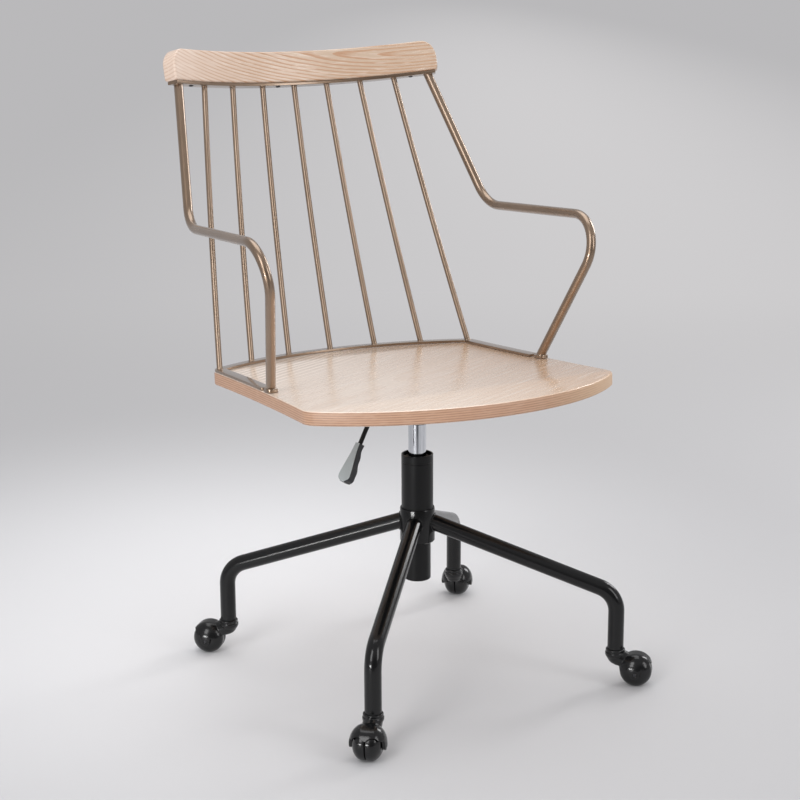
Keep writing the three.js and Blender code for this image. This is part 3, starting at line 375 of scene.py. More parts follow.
def oak(name, heart, pale, sheen_to_shade, line, contrast, coat, coat_roughness):
    """Oak cut from round a heart line, which is (start, end) in the object's coordinates or the name of an
    attribute that holds the place along and around it. The argument after pale is (first X, last X, colour):
    between these the ground turns from pale, a painted sheen, to that colour, painted shade, and the rings
    show more."""
    material, nodes, links = node_material(name)
    grain = nodes.new("ShaderNodeGroup")
    grain.node_tree = oak_grain
    grain.inputs["Line"].default_value = line
    if isinstance(heart, str):
        stored = nodes.new("ShaderNodeAttribute")
        stored.attribute_name = heart
        place = stored.outputs["Vector"]
        links.new(place, grain.inputs["Vector"])
    else:
        start, end = heart
        lie = nodes.new("ShaderNodeMapping")
        lie.vector_type = "TEXTURE"
        lie.inputs["Location"].default_value = start
        lie.inputs["Scale"].default_value = (1, seat_ring_spread, seat_ring_spread)
        lie.inputs["Rotation"].default_value = (end - start).to_track_quat("X", "Z").to_euler()
        place = nodes.new("ShaderNodeTexCoord").outputs["Object"]
        links.new(place, lie.inputs["Vector"])
        links.new(lie.outputs["Vector"], grain.inputs["Vector"])
    across = nodes.new("ShaderNodeSeparateXYZ")
    links.new(place, across.inputs["Vector"])
    # painted light: a paler ground with fainter rings as a painted sheen at low X, and a darker ground with
    # stronger rings as painted shade at high X
    shade_share = band_of(nodes, across.outputs["X"], *sheen_to_shade[:2])
    links.new(mix_of(nodes, shade_share, pale, sheen_to_shade[2]), grain.inputs["Pale"])
    deeper = value_of(nodes, "MULTIPLY", shade_share, contrast * 0.8)
    links.new(value_of(nodes, "ADD", deeper, contrast * 0.75), grain.inputs["Contrast"])
    skin = skin_of(nodes, grain.outputs["Color"], grain.outputs["Roughness"],
                   grain.outputs["Height"], grain_relief, grain_depth)
    skin.inputs["Coat Weight"].default_value = coat
    skin.inputs["Coat Roughness"].default_value = coat_roughness
    return material


def ply_edge():
    """The cut edge: thin plies in turn along and across, so a darker and a paler stripe each, with fine
    streaks, broad patches, and painted light that makes the edge paler towards the right."""
    ply_scale, ply_wander, ply_wander_scale = 92, 0.3, 3
    edge_roughness, edge_relief = 0.42, 0.3
    material, nodes, links = node_material("oak ply edge")
    level = nodes.new("ShaderNodeMapping")
    level.inputs["Rotation"].default_value = (seat_tilt, 0, 0)
    links.new(nodes.new("ShaderNodeTexCoord").outputs["Object"], level.inputs["Vector"])
    place = level.outputs["Vector"]
    across = nodes.new("ShaderNodeSeparateXYZ")
    links.new(place, across.inputs["Vector"])
    plies = nodes.new("ShaderNodeTexWave")
    plies.bands_direction = "Z"
    plies.inputs["Scale"].default_value = ply_scale
    plies.inputs["Distortion"].default_value = ply_wander
    plies.inputs["Detail Scale"].default_value = ply_wander_scale
    links.new(place, plies.inputs["Vector"])
    streaks = noise_of(nodes, stretch_of(nodes, place, (60, 60, 900)), 1.0, 3.0, 0.6)
    patches = noise_of(nodes, place, 9.0, 2.0)
    tone = (0.53, 0.32, 0.21, 1)
    for pattern, low, high, share, colour in (
            (plies.outputs["Fac"], 0.25, 0.9, 0.62, (0.27, 0.135, 0.08, 1)),
            (streaks, 0.45, 0.72, 0.5, (0.61, 0.405, 0.295, 1)),
            (patches, 0.4, 0.7, 0.3, (0.45, 0.25, 0.17, 1)),
            # painted light: the edge turns paler towards the right
            (across.outputs["X"], 0.02, 0.26, 0.55, (0.78, 0.56, 0.35, 1))):
        shown = value_of(nodes, "MULTIPLY", band_of(nodes, pattern, low, high), share)
        tone = mix_of(nodes, shown, tone, colour)
    skin_of(nodes, tone, edge_roughness, streaks, edge_relief, grain_depth)
    return material


seat_heart = (Vector((-0.9, -0.62, 0.43)), Vector((0.9, 0.50, 0.40)))
# The seat face is painted paler at its left as a painted sheen and darker at its right as painted shade.
seat_oak = oak("limed oak, seat face", seat_heart, (0.84, 0.69, 0.57, 1),
               sheen_to_shade=(-0.14, 0.25, (0.59, 0.385, 0.245, 1)), line=(0.56, 0.35, 0.235, 1),
               contrast=0.22, coat=0.9, coat_roughness=0.2)
seat_edge = seat_outline()
flat_piece(seat_edge, -seat_thickness, seat_thickness, seat_arris, seat_frame)
seat = finished("seat", "seat", seat_oak, ["seat_panel"], 50)
seat.data.materials.append(ply_edge())
for face in seat.data.polygons:
    face.material_index = 0 if abs(face.normal.dot(seat_up)) > 0.75 else 1

# Seat band: flat steel bar bent on edge round the rear of the seat, in antique bronze lacquer. It is
# screwed down from below, and its two ends stop just behind the arms' foot plates.
seam = 0.0003  # the least room between two pieces that stand on one another
bar_width, bar_arris = 0.018, 0.0006
band_edge, band_thickness, band_start, band_end_round = 0.001, 0.004, 0.0315, 0.005


def bronze_lacquer():
    """Antique bronze: a brown metallic lacquer with a slow change of tone and a fine orange peel."""
    material, nodes, _ = node_material("antique bronze lacquer")
    where = nodes.new("ShaderNodeTexCoord").outputs["Object"]
    cloud = noise_of(nodes, where, 14.0, 3.0)
    peel = noise_of(nodes, where, 350.0, 1.0)
    brown = mix_of(nodes, cloud, (0.215, 0.142, 0.090, 1), (0.33, 0.232, 0.160, 1))
    roughness = value_of(nodes, "ADD", 0.26, value_of(nodes, "MULTIPLY", cloud, 0.08))
    skin = skin_of(nodes, brown, roughness, peel, relief=0.02)
    skin.inputs["Metallic"].default_value = 0.85
    skin.inputs["Coat Weight"].default_value = 1.0
    skin.inputs["Coat Roughness"].default_value = 0.12
    return material


def band_outline():
    outer = [p for p in inset(seat_edge, band_edge) if p.y > band_start]
    inner = [p for p in inset(seat_edge, band_edge + bar_width) if p.y > band_start]
    right, left = outer[0], outer[-1]
    radius = band_end_round
    round_right = arc(radius, -quarter, 0, (right.x - radius, right.y + radius), 6)
    round_left = arc(radius, 2 * quarter, 3 * quarter, (left.x + radius, left.y + radius), 6)
    return round_right + outer[2:-2] + round_left + list(reversed(inner))


bronze = bronze_lacquer()
flat_piece(band_outline(), seam, band_thickness, bar_arris, seat_frame)
finished("band", "seat", bronze, ["seat_band"])

# Crest bar: a second flat bar bent on edge. The spindles and arms are welded under it, and the oak
# rail is screwed on from below through three holes.
crest_radius, crest_place, crest_lean = 0.5, (0, 0.407, 0.4426), math.radians(11.5)
bar_half, bar_thickness = 0.251, 0.005
crest_step = math.radians(6.83)  # from one spindle to the next, round the crest
crest_frame = seat_frame @ Matrix.Translation(crest_place) @ Matrix.Rotation(-crest_lean, 4, "X")
crest_up = crest_frame.to_3x3() @ Vector((0, 0, 1))
bar_start, bar_end = quarter + bar_half / crest_radius, quarter - bar_half / crest_radius
bar_front = arc(crest_radius - bar_width / 2, bar_start, bar_end, (0, -crest_radius))
bar_rear = arc(crest_radius + bar_width / 2, bar_end, bar_start, (0, -crest_radius))
flat_piece(list(reversed(bar_front + bar_rear)), 0, bar_thickness, bar_arris, crest_frame)
finished("crest_bar", "seat", bronze, ["crest_strip"])


def on_crest(step):
    """The place under the crest bar, that many spindle steps from its middle."""
    angle = crest_step * step
    return crest_frame @ Vector((crest_radius * math.sin(angle), crest_radius * (math.cos(angle) - 1), 0))


def spun(profile, into, steps=48, loop=False):
    """A solid spun about Z from (radius, height) points whose ends lie on the axis, or which form a loop."""
    deselect()
    bpy.ops.curve.primitive_bezier_curve_add()
    curve = bpy.context.object.data
    curve.splines.clear()
    spline = curve.splines.new("POLY")
    spline.points.add(len(profile) - 1)
    for knot, (radius, height) in zip(spline.points, profile):
        knot.co = (radius, 0, height, 1)
    spline.use_cyclic_u = loop
    curve.dimensions = "3D"
    bpy.ops.object.convert(target="MESH")
    bpy.ops.object.mode_set(mode="EDIT")
    bpy.ops.mesh.select_all(action="SELECT")
    bpy.ops.mesh.spin(steps=steps, angle=2 * math.pi, center=(0, 0, 0), axis=(0, 0, 1))
    bpy.ops.object.mode_set(mode="OBJECT")
    piece = cleaned(bpy.context.object)
    piece.data.transform(into)
    return piece


def at_hand(pieces):
    """Selects these pieces alone and works on the first."""
    deselect()
    for piece in pieces:
        piece.select_set(True)
    bpy.context.view_layer.objects.active = pieces[0]


def joined(pieces):
    """Several pieces made one."""
    at_hand(pieces)
    bpy.ops.object.join()
    return pieces[0]


def dark_steel(name, colour, roughness, metallic=0.9):
    """Plated or blackened steel with a fine brushed change of gloss."""
    material, nodes, _ = node_material(name)
    where = nodes.new("ShaderNodeTexCoord").outputs["Object"]
    brushed = noise_of(nodes, stretch_of(nodes, where, (400, 400, 40)), 1.0, 3.0)
    darker = tuple(c * 0.7 for c in colour[:3]) + (1,)
    gloss = value_of(nodes, "ADD", roughness - 0.06, value_of(nodes, "MULTIPLY", brushed, 0.14))
    skin = skin_of(nodes, mix_of(nodes, brushed, darker, colour), gloss)
    skin.inputs["Metallic"].default_value = metallic
    return material


blackened = dark_steel("blackened screw", (0.05, 0.05, 0.055, 1), 0.4, 0.6)
screw_head = [(0, -0.0016), (0.0022, -0.0015), (0.0036, -0.0007), (0.004, 0.0002), (0, 0.0002)]
joined([spun(screw_head, Matrix.Translation(on_crest(step)) @ crest_frame.to_3x3().to_4x4(), 24)
        for step in (-3.5, -0.5, 3.5)])
finished("crest_screws", "seat", blackened, [])

# Crest rail: one solid oak board, steamed to the curve of the crest. Its upper corners are cut to a
# large round and every arris is eased.
rail_half, rail_height, rail_thickness, rail_arris = 0.257, 0.05175, 0.02494, 0.003
top_round, top_drop = 0.026, 0.031  # the upper corner's length along the rail, and how far it comes down
foot_round, foot_rise = 0.004, 0.009
end_arris, end_thinning = 0.003, 0.006


def loft(rings):
    """A closed skin through rings of points, from a grid whose seam is welded and whose ends are filled."""
    count, turns = len(rings[0]), len(rings)
    deselect()
    bpy.ops.mesh.primitive_grid_add(x_subdivisions=turns - 1, y_subdivisions=count)
    skin = bpy.context.object
    for j in range(count + 1):
        for i, ring in enumerate(rings):
            skin.data.vertices[j * turns + i].co = ring[j % count]
    bpy.ops.object.mode_set(mode="EDIT")
    bpy.ops.mesh.select_all(action="SELECT")
    bpy.ops.mesh.remove_doubles(threshold=1e-7)
    bpy.ops.mesh.fill_holes(sides=0)
    bpy.ops.mesh.normals_make_consistent(inside=False)
    bpy.ops.object.mode_set(mode="OBJECT")
    return skin


def rounded(width, length, radius):
    """A rectangle's outline with round corners, anticlockwise."""
    across, along = width / 2 - radius, length / 2 - radius
    middles = ((across, along), (-across, along), (-across, -along), (across, -along))
    points = []
    for quadrant, middle in enumerate(middles):
        points += arc(radius, quadrant * quarter, (quadrant + 1) * quarter, middle, 8)
    return points


def quarter_round(from_end, length, height):
    """How far a quarter round of that length has come in from the board's edge."""
    return height * (1 - math.sqrt(1 - max(1 - from_end / length, 0) ** 2))


def rail_rings():
    ends = [rail_half - top_round * (1 - math.sin(quarter * i / 14)) for i in range(14)]
    ends += [rail_half - foot_round * (1 - math.sin(quarter * i / 8)) ** 2 for i in range(3, 9)]
    straight = [(rail_half - top_round) * i / 40 for i in range(-39, 40)]
    rings = []
    for place in sorted([-place for place in ends] + straight + ends):
        from_end = rail_half - abs(place)
        top = rail_height - quarter_round(from_end, top_round, top_drop)
        foot = quarter_round(from_end, foot_round, foot_rise)
        depth = rail_thickness - quarter_round(from_end, end_arris, end_thinning)
        angle = place / crest_radius
        ring = []
        for point in rounded(depth, top - foot, rail_arris):
            reach = crest_radius + point.x
            height = bar_thickness + seam + point.y + (top + foot) / 2
            ring.append(crest_frame @ Vector((
                reach * math.sin(angle), reach * math.cos(angle) - crest_radius, height)))
        rings.append(ring)
    return rings


def lay_grain(board):
    """Stores each point's place along and around the tree's heart. The heart lies high and deep at the
    left end, comes down in a curve, and almost meets the face at the right end."""
    heart_depth, heart_near, heart_height, heart_climb, heart_curve = 0.037, 0.002, 0.041, 0.08, 1.8
    grain = board.data.attributes.new("grain", "FLOAT_VECTOR", "POINT")
    for vertex, stored in zip(board.data.vertices, grain.data):
        spot = crest_frame.inverted() @ vertex.co
        along = crest_radius * math.atan2(spot.x, spot.y + crest_radius)
        depth = rail_thickness / 2 + math.hypot(spot.x, spot.y + crest_radius) - crest_radius
        left = (rail_half - along) / (2 * rail_half)
        stored.vector = (along, depth - heart_depth * left - heart_near,
                         spot.z - heart_height - heart_climb * max(left, 0) ** heart_curve)


# The rail is painted paler towards its left end as painted light and darker towards its right as painted
# shade.
rail_oak = oak("limed oak, crest rail", "grain", (0.735, 0.58, 0.48, 1),
               sheen_to_shade=(-0.27, 0.06, (0.56, 0.42, 0.315, 1)), line=(0.47, 0.275, 0.165, 1),
               contrast=0.9, coat=0.3, coat_roughness=0.25)
lay_grain(loft(rail_rings()))
finished("crest_rail_board", "seat", rail_oak, ["crest_rail"], 40)

# Spindles: seven round steel rods, slightly bowed, welded to the band below and the crest bar above
# and lacquered with them.
spindle_radius, spindle_bow, spindle_step = 0.00475, 0.008, math.radians(10.9)
weld_radius, foot_weld, top_weld, weld_depth = 0.0049, 0.0009, 0.0008, 0.001
band_radius = rear_radius - band_edge - bar_width / 2
band_top = seam + band_thickness


def bent_round(knots, radius, sides=6):
    """A round bar or tube along Bezier knots, each (place, handle before, handle after)."""
    deselect()
    bpy.ops.curve.primitive_bezier_curve_add()
    curve = bpy.context.object.data
    curve.splines.clear()
    spline = curve.splines.new("BEZIER")
    spline.bezier_points.add(len(knots) - 1)
    for knot, (place, before, after) in zip(spline.bezier_points, knots):
        knot.co, knot.handle_left, knot.handle_right = place, before, after
    curve.dimensions = "3D"
    curve.resolution_u = 20
    curve.bevel_depth = radius
    curve.bevel_resolution = sides
    curve.use_fill_caps = True
    bpy.ops.object.convert(target="MESH")
    return cleaned(bpy.context.object)


def weld_ring(place, facing, radius, size):
    """The small fillet of weld round a rod's end."""
    bpy.ops.mesh.primitive_torus_add(
        major_radius=radius, minor_radius=size, major_segments=32, minor_segments=8)
    ring = bpy.context.object
    ring.data.transform(Matrix.Translation(place) @ facing.to_track_quat("Z", "Y").to_matrix().to_4x4())
    return ring


for number in range(1, 8):
    side = number - 4
    angle = spindle_step * side
    foot = seat_frame @ Vector((
        band_radius * math.sin(angle), rear_middle + band_radius * math.cos(angle), band_top))
    top = on_crest(side)
    middle = (foot + top) / 2 + Vector((0, spindle_bow, 0))
    start, end = foot - seat_up * weld_depth, top + crest_up * weld_depth
    knots = [(start, start, foot.lerp(middle, 2 / 3)), (end, top.lerp(middle, 2 / 3), end)]
    joined([bent_round(knots, spindle_radius), weld_ring(foot, seat_up, weld_radius, foot_weld),
            weld_ring(top, crest_up, weld_radius, top_weld)])
    finished(f"spindle_rod_{number}", "seat", bronze, [f"spindle_{number}"])

# Arms: one 15 mm steel tube each, bent twice, welded under the end of the crest bar and on a small
# rounded foot plate that is screwed to the seat.
arm_radius, arm_bends = 0.0075, (0.053, 0.060)
arm_front, arm_rear = (0.28668, -0.1123, 0.2315), (0.2707, 0.2325, 0.2337)
foot_x, foot_y, foot_width, foot_length, foot_thickness = 0.23837, 0.019, 0.018, 0.022, 0.005
foot_corner, foot_arris = 0.006, 0.0007
arm_foot_weld, arm_top_weld = (0.0079, 0.0013), (0.0077, 0.0011)  # radius and size
into_foot, into_bar = 0.002, 0.003  # how far the tube's ends run on into what they are welded to


def tube_knots(corners, bends):
    """Knots for a tube through corners, each inner corner bent to its radius."""
    knots = []
    for i, corner in enumerate(corners):
        if i in (0, len(corners) - 1):
            other = corners[1] if i == 0 else corners[-2]
            near = corner.lerp(other, 0.02)
            knots.append((corner, corner, near) if i == 0 else (corner, near, corner))
            continue
        before, after = (corners[i - 1] - corner).normalized(), (corners[i + 1] - corner).normalized()
        turned_by = math.pi - before.angle(after)
        reach = bends[i - 1] * math.tan(turned_by / 2)
        pull = bends[i - 1] * math.tan(turned_by / 4) * 4 / 3
        start, end = corner + before * reach, corner + after * reach
        knots.append((start, start + before * 0.002, start - before * pull))
        knots.append((end, end - after * pull, end + after * 0.002))
    return knots


for side, name in ((-1, "left"), (1, "right")):
    foot, front, rear = (seat_frame @ Vector((side * x, y, z)) for x, y, z in (
        (foot_x, foot_y, foot_thickness + seam), arm_front, arm_rear))
    top = on_crest(side * 4)
    rings = [weld_ring(foot, seat_up, *arm_foot_weld), weld_ring(top, crest_up, *arm_top_weld)]
    foot += (foot - front).normalized() * into_foot
    top += (top - rear).normalized() * into_bar
    tube = bent_round(tube_knots([foot, front, rear, top], arm_bends), arm_radius, 9)
    joined([tube] + rings)
    finished(f"arm_{name}", "seat", bronze, [f"arm_tube_{name}"])
    flat_piece(rounded(foot_width, foot_length, foot_corner), seam, foot_thickness, foot_arris,
               seat_frame @ Matrix.Translation((side * foot_x, foot_y, 0)))
    finished(f"arm_pad_{name}", "seat", bronze, [f"arm_foot_{name}"])

# Gas lift: a chromed cylinder that slides in a plastic bushing in the outer tube, on a piston rod that
# stands on a thrust bearing in the tube's floor. Pressing the button at its top frees it.
axis = Matrix.Translation((0, column_y, 0))
cylinder_top = 0.436
column_tube = [
    (0.0054, 0.152), (0.0199, 0.152), (0.02115, 0.1532), (0.02115, 0.215), (0.025, 0.272), (0.025, 0.3438),
    (0.0246, 0.3442), (0.0246, 0.3448), (0.025, 0.3452), (0.025, 0.3563), (0.0243, 0.357), (0.0231, 0.357),
    (0.0225, 0.3563), (0.0225, 0.272), (0.01865, 0.215), (0.01865, 0.155), (0.0054, 0.155)]
bushing = [
    (0.01435, 0.276), (0.0222, 0.276), (0.0222, 0.350), (0.0202, 0.352), (0.0163, 0.352), (0.0152, 0.3508),
    (0.01435, 0.350)]
cylinder = [
    (0.00535, 0.225), (0.0135, 0.225), (0.014, 0.2255), (0.014, 0.407), (0.013, 0.4355),
    (0.0125, cylinder_top), (0.00385, cylinder_top), (0.00385, 0.431), (0.0115, 0.431), (0.0115, 0.233),
    (0.00535, 0.233)]


def black_finish(name, base, roughness, gloss, peel_scale=1400.0, peel=0.05):
    """Black paint or moulded plastic with a fine orange peel and a little change of gloss."""
    material, nodes, _ = node_material(name)
    where = nodes.new("ShaderNodeTexCoord").outputs["Object"]
    cloud = noise_of(nodes, where, 22.0, 3.0)
    fine = noise_of(nodes, where, peel_scale, 2.0)
    black = mix_of(nodes, cloud, base + (1,), tuple(c * 1.5 for c in base) + (1,))
    uneven = value_of(nodes, "ADD", roughness - 0.04, value_of(nodes, "MULTIPLY", cloud, 0.1))
    skin = skin_of(nodes, black, uneven, fine, peel)
    skin.inputs["Specular IOR Level"].default_value = gloss
    return material


satin_black = black_finish("satin black paint", (0.004, 0.004, 0.0043), 0.34, 0.26)
nylon = black_finish("black nylon", (0.012, 0.012, 0.0125), 0.5, 0.3)
chrome = dark_steel("chrome plate", (0.80, 0.82, 0.86, 1), 0.09, 1.0)
zinc = dark_steel("zinc plated steel", (0.42, 0.43, 0.45, 1), 0.36)
spun(column_tube, axis, 64, True)
finished("column_tube", "base", satin_black, ["outer_tube"])
spun(bushing, axis, 48, True)
finished("column_bushing", "base", nylon, ["guide_bushing"])
spun(cylinder, axis, 64, True)
finished("lift_cylinder", "seat", chrome, ["inner_cylinder"])
for name in ("piston_rod", "thrust_bearing", "valve_button"):
    put_material(cad_nodes[name], zinc)

# Base: a hub sleeve driven on to the tube's taper, with four legs of 25 mm tube welded to it. Each leg
# is bent down to stand upright over its caster, and all of it is painted gloss black.
leg_angles = {"right": -40.25, "front": -130.25, "left": 139.75, "back": 49.75}
leg_slope, leg_radius, leg_reach, leg_bend = math.radians(18.72), 0.0127, 0.3165, 0.040
leg_start, leg_root, leg_foot = 0.0238, 0.2548, 0.060  # from the column's axis, and heights over the floor
bead_radius, bead_reach, bead_size = 0.0131, 0.0277, 0.0016
sleeve = [
    (0.02145, 0.215), (0.0262, 0.215), (0.0275, 0.2163), (0.0275, 0.2683), (0.0268, 0.270), (0.0255, 0.270),
    (0.0252, 0.2694)]


def leg_bead():
    """The bead of weld where the leg's tube meets the sleeve, as a ring of points."""
    run = Vector((math.cos(leg_slope), 0, -math.sin(leg_slope)))
    rise = Vector((math.sin(leg_slope), 0, math.cos(leg_slope)))
    root = Vector((0, 0, leg_root))
    points = []
    for i in range(64):
        turn = 2 * math.pi * i / 64
        edge = root + rise * (bead_radius * math.cos(turn)) + Vector((0, bead_radius * math.sin(turn), 0))
        reach = math.sqrt(bead_reach ** 2 - edge.y ** 2) - edge.x
        points.append(edge + run * (reach / run.x))
    return points


def closed_bead(points, radius, into):
    """A closed ring of weld, a little thicker here and thinner there."""
    deselect()
    bpy.ops.curve.primitive_bezier_circle_add()
    curve = bpy.context.object.data
    curve.splines.clear()
    spline = curve.splines.new("POLY")
    spline.points.add(len(points) - 1)
    for i, (knot, point) in enumerate(zip(spline.points, points)):
        knot.co = (*point, 1)
        knot.radius = 1 + 0.12 * math.sin(i * 2.4)
    spline.use_cyclic_u = True
    curve.dimensions = "3D"
    curve.bevel_depth = radius
    curve.bevel_resolution = 3
    bpy.ops.object.convert(target="MESH")
    bpy.context.object.data.transform(into)
    return bpy.context.object


gloss_black = black_finish("gloss black paint", (0.003, 0.003, 0.0032), 0.15, 0.4)
hub = [spun(sleeve, axis, 64, True)]
for place, degrees in leg_angles.items():
    into = axis @ Matrix.Rotation(math.radians(degrees), 4, "Z")
    corners = [into @ Vector(corner) for corner in (
        (leg_start, 0, leg_root - leg_start * math.tan(leg_slope)),
        (leg_reach, 0, leg_root - leg_reach * math.tan(leg_slope)), (leg_reach, 0, leg_foot))]
    bent_round(tube_knots(corners, (leg_bend,)), leg_radius, 12)
    finished(f"leg_tube_{place}", "base", gloss_black, [f"leg_{place}"])
    hub.append(closed_bead(leg_bead(), bead_size, into))
    put_material(cad_nodes[f"leg_socket_{place}"], nylon)
joined(hub)
finished("hub", "base", gloss_black, ["hub_sleeve"])

# Casters: a moulded hood on a steel stem holds two half-ball wheels side by side on one axle. The
# hood's lip arches over each wheel, and an ear comes down on each side to the axle's end.
trail, ball = 0.033, 0.025  # from the stem to the axle, and the wheels' radius
tread = 0.006  # the place along the axle where the wheels and the hood are widest
shell_radius, shell_side, shell_crown = 0.02765, 0.0276, 0.0216
room_radius, room_side, room_crown = 0.026, 0.0213, 0.018
wheel_side, wheel_crown, wheel_bore = 0.021, 0.017, 0.00285
lip_slant, arch_radius, arch_side = math.radians(-13.5), 0.0105, 0.0112
neck_radius, stem_bore, axle_bore = 0.0145, 0.0059, 0.0029
collar = [
    (0, 0.0420), (0.0130, 0.0420), (0.0150, 0.0455), (0.0160, 0.0480), (0.0160, 0.0515), (0.0148, 0.0527),
    (0.0143, 0.0533), (0.0152, 0.0543), (0.0152, 0.0566), (0.0140, 0.0579), (0, 0.0579)]
ear_outline = [Vector((-0.0145, 0.03)), Vector((-0.0070, -0.0015))] + arc(
    0.0070, 2 * quarter, 4 * quarter, (0, -0.0010), 16) + [Vector((0.0070, -0.0005)), Vector((0.0145, 0.03))]
to_axle = Matrix.Translation((trail, 0, ball))
on_side = Matrix.Rotation(math.radians(-90), 4, "X")


def ball_half(radius, width, crown, steps=12):
    """Half a ball's profile, from its tread to its flat side, as (radius, place along the axle)."""
    last = math.acos(min((width - tread) / crown, 1))
    angles = [quarter + (last - quarter) * i / steps for i in range(steps + 1)]
    return [(radius * math.sin(a), tread + crown * math.cos(a)) for a in angles]


def whole_ball(radius, width, crown):
    """A ball cut flat on both sides, round the wheels' place."""
    half = ball_half(radius, width, crown)
    profile = [(0, -width)] + [(r, -p) for r, p in reversed(half)] + half + [(0, width)]
    return spun(profile, to_axle @ on_side, 64)


def shaped(piece, operation, tool):
    """Cuts or joins a piece with another by a boolean, and deletes the other."""
    at_hand([piece])
    cut = piece.modifiers.new("cut", "BOOLEAN")
    cut.operation = operation
    cut.solver = "EXACT"
    cut.object = tool
    bpy.ops.object.modifier_apply(modifier="cut")
    bpy.data.objects.remove(tool)


def round_bar(radius, start, end, steps=32):
    """A round bar from start to end."""
    start, end = Vector(start), Vector(end)
    deselect()
    bpy.ops.mesh.primitive_cylinder_add(radius=radius, depth=(end - start).length, vertices=steps)
    bar = bpy.context.object
    lean = (end - start).to_track_quat("Z", "Y").to_matrix().to_4x4()
    bar.data.transform(Matrix.Translation((start + end) / 2) @ lean)
    return bar


def hood_window():
    """What is cut from the hood: all below a slanting lip and an arch over each wheel, but not the ears."""
    deselect()
    bpy.ops.mesh.primitive_cube_add(size=1)
    window = bpy.context.object
    window.data.transform(to_axle @ Matrix.Rotation(lip_slant, 4, "Y") @ Matrix.Translation(
        (0, 0, -0.0235)) @ Matrix.Diagonal((0.12, 0.1, 0.06, 1)))
    for side in (-1, 1):
        arch_start = (trail + 0.006, side * arch_side, ball + 0.0022)
        arch_end = (trail + 0.05, side * arch_side, ball + 0.0130)
        shaped(window, "UNION", round_bar(arch_radius, arch_start, arch_end, 40))
    for side in (-1, 1):
        upright = Matrix.Translation((trail, side * shell_side + 0.006, ball)) @ Matrix.Rotation(
            math.radians(90), 4, "X")
        shaped(window, "DIFFERENCE", flat_piece(ear_outline, 0, 0.012, 0.0002, upright))
    return window


def hood_shape():
    """The shell with its neck and the collar's rings, hollowed for the wheels, cut open and bored."""
    shell = whole_ball(shell_radius, shell_side, shell_crown)
    neck = [(Vector((0, 0, 0.050)), Vector((0, 0, 0.053)), Vector((0, 0, 0.0425))),
            (Vector((0.024, 0, 0.034)), Vector((0.0145, 0, 0.0395)), Vector((0.026, 0, 0.033)))]
    shaped(shell, "UNION", bent_round(neck, neck_radius, 10))
    shaped(shell, "UNION", spun(collar, Matrix.Identity(4), 48))
    shaped(shell, "DIFFERENCE", whole_ball(room_radius, room_side, room_crown))
    under_neck = ball - 0.0085
    shaped(shell, "DIFFERENCE", round_bar(0.0195, (-0.02, 0, under_neck), (trail, 0, under_neck), 64))
    shaped(shell, "DIFFERENCE", hood_window())
    shaped(shell, "DIFFERENCE", round_bar(axle_bore, (trail, -0.03, ball), (trail, 0.03, ball)))
    shaped(shell, "DIFFERENCE", round_bar(stem_bore, (0, 0, 0.0397), (0, 0, 0.07)))
    at_hand([shell])
    shell.data.remesh_voxel_size = 0.0006
    bpy.ops.object.voxel_remesh()
    soften = shell.modifiers.new("soften", "SMOOTH")
    soften.iterations = 4
    bpy.ops.object.modifier_apply(modifier="soften")
    return shell


def wheel_shape(side):
    """Half a ball with a shallow groove round its axle, on that side of the hood's middle."""
    flat = [(wheel_bore, 0.0006), (0.0240, 0.0006), (0.0247, 0.0010), (0.0249, 0.0018)]
    groove = [(0.0085, wheel_side), (0.0080, 0.0204), (0.0058, 0.0204), (0.0052, wheel_side)]
    profile = flat + ball_half(ball, wheel_side, wheel_crown, 14)[1:] + groove + [(wheel_bore, wheel_side)]
    return spun([(r, side * p) for r, p in profile], to_axle @ on_side, 64, True)


def copied(piece, into):
    """A copy of a piece with its own mesh, moved by a matrix."""
    at_hand([piece])
    bpy.ops.object.duplicate()
    bpy.context.object.data.transform(into)


black_plastic = black_finish("gloss black plastic", (0.003, 0.003, 0.0033), 0.17, 0.45, 700.0, 0.03)
hood = hood_shape()
wheels = {"a": wheel_shape(1), "b": wheel_shape(-1)}
for place, degrees in leg_angles.items():
    into = axis @ Matrix.Rotation(math.radians(degrees), 4, "Z") @ Matrix.Translation((leg_reach, 0, 0))
    copied(hood, into)
    finished(f"hood_{place}", f"caster_{place}", black_plastic, [f"caster_hood_{place}"], 60)
    for side, wheel in wheels.items():
        copied(wheel, into)
        finished(f"ball_{side}_{place}", f"wheel_{side}_{place}", black_plastic,
                 [f"caster_wheel_{side}_{place}"])
    put_material(cad_nodes[f"caster_stem_{place}"], zinc)
    put_material(cad_nodes[f"caster_axle_{place}"], blackened)
for pattern in (hood, *wheels.values()):
    bpy.data.objects.remove(pattern)

# Under the seat: a pressed steel plate with a welded cone that grips the cylinder, four bolts up into
# the seat, and two plastic spacers that level the plate at the front.
for name in ("mount_plate", "cone_housing"):
    put_material(cad_nodes[name], satin_black)
for number in range(1, 5):
    put_material(cad_nodes[f"plate_bolt_{number}"], zinc)
for side in ("left", "right"):
    put_material(cad_nodes[f"seat_spacer_{side}"], black_plastic)

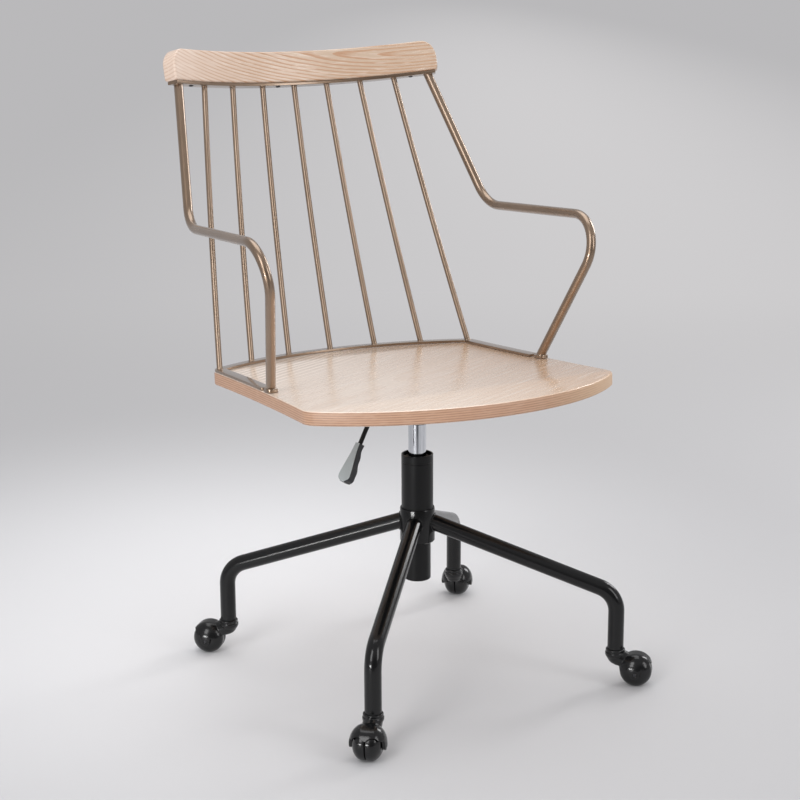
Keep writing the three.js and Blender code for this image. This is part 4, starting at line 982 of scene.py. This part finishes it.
# Release lever: a bent steel rod with a moulded paddle pushed on its end. The paddle has a grey face
# on a dark body, with finger grooves underneath.
lever_radius, button_rise = 0.0035, 0.004
lever_height = cylinder_top + button_rise + seam + lever_radius
lever_turn, drop = math.radians(196.5), math.radians(57.5)
lever_frame = axis @ Matrix.Rotation(lever_turn, 4, "Z")
grip, into_grip, lever_bends = Vector((0.1224, 0, 0.396)), 0.012, (0.030, 0.014)
paddle_length, paddle_end, paddle_arris = 0.063, 0.011, 0.0025
narrow_width, widening, thin_depth, deepening, groove_depth, grooves = 0.011, 0.016, 0.012, 0.003, 0.0016, 3
paddle_run = Vector((math.cos(drop), 0, -math.sin(drop)))
paddle_face = Vector((math.sin(drop), 0, math.cos(drop)))
lever_corners = [lever_frame @ corner for corner in (
    Vector((-0.005, 0, lever_height)), Vector((0.062, 0, lever_height)), Vector((0.101, 0, 0.430)),
    grip + paddle_run * into_grip)]
bent_round(tube_knots(lever_corners, lever_bends), lever_radius)
finished("lever_bar", "lever", satin_black, ["lever_rod"])


def paddle_rings():
    """Rings down the paddle, which widens, deepens and ends round, with grooves along its underside."""
    rings = []
    for step in range(61):
        share = step / 60
        run = paddle_length * share
        ending = math.sqrt(max(1 - max(1 - (paddle_length - run) / paddle_end, 0) ** 2, 0.12))
        half_width = (narrow_width + widening * share * share * (3 - 2 * share)) / 2 * ending
        groove = groove_depth * math.sin(grooves * math.pi * share) ** 2
        depth = thin_depth + deepening * share - groove
        ring = []
        for point in rounded(2 * half_width, depth, min(paddle_arris, half_width * 0.45)):
            level = point.y + (thin_depth - depth) / 2
            spot = grip + paddle_run * run + paddle_face * level + Vector((0, point.x, 0))
            ring.append(lever_frame @ spot)
        rings.append(ring)
    return rings


paddle_body = black_finish("dark grey moulding", (0.022, 0.022, 0.024), 0.4, 0.4, 900.0, 0.15)
paddle_top = black_finish("grey moulding", (0.27, 0.293, 0.298), 0.42, 0.4, 900.0, 0.15)
loft(paddle_rings())
paddle = finished("paddle", "lever", paddle_top, ["lever_paddle"], 40)
paddle.data.materials.append(paddle_body)
face_way = lever_frame.to_3x3() @ paddle_face
for face in paddle.data.polygons:
    face.material_index = 0 if face.normal.dot(face_way) > 0.8 else 1
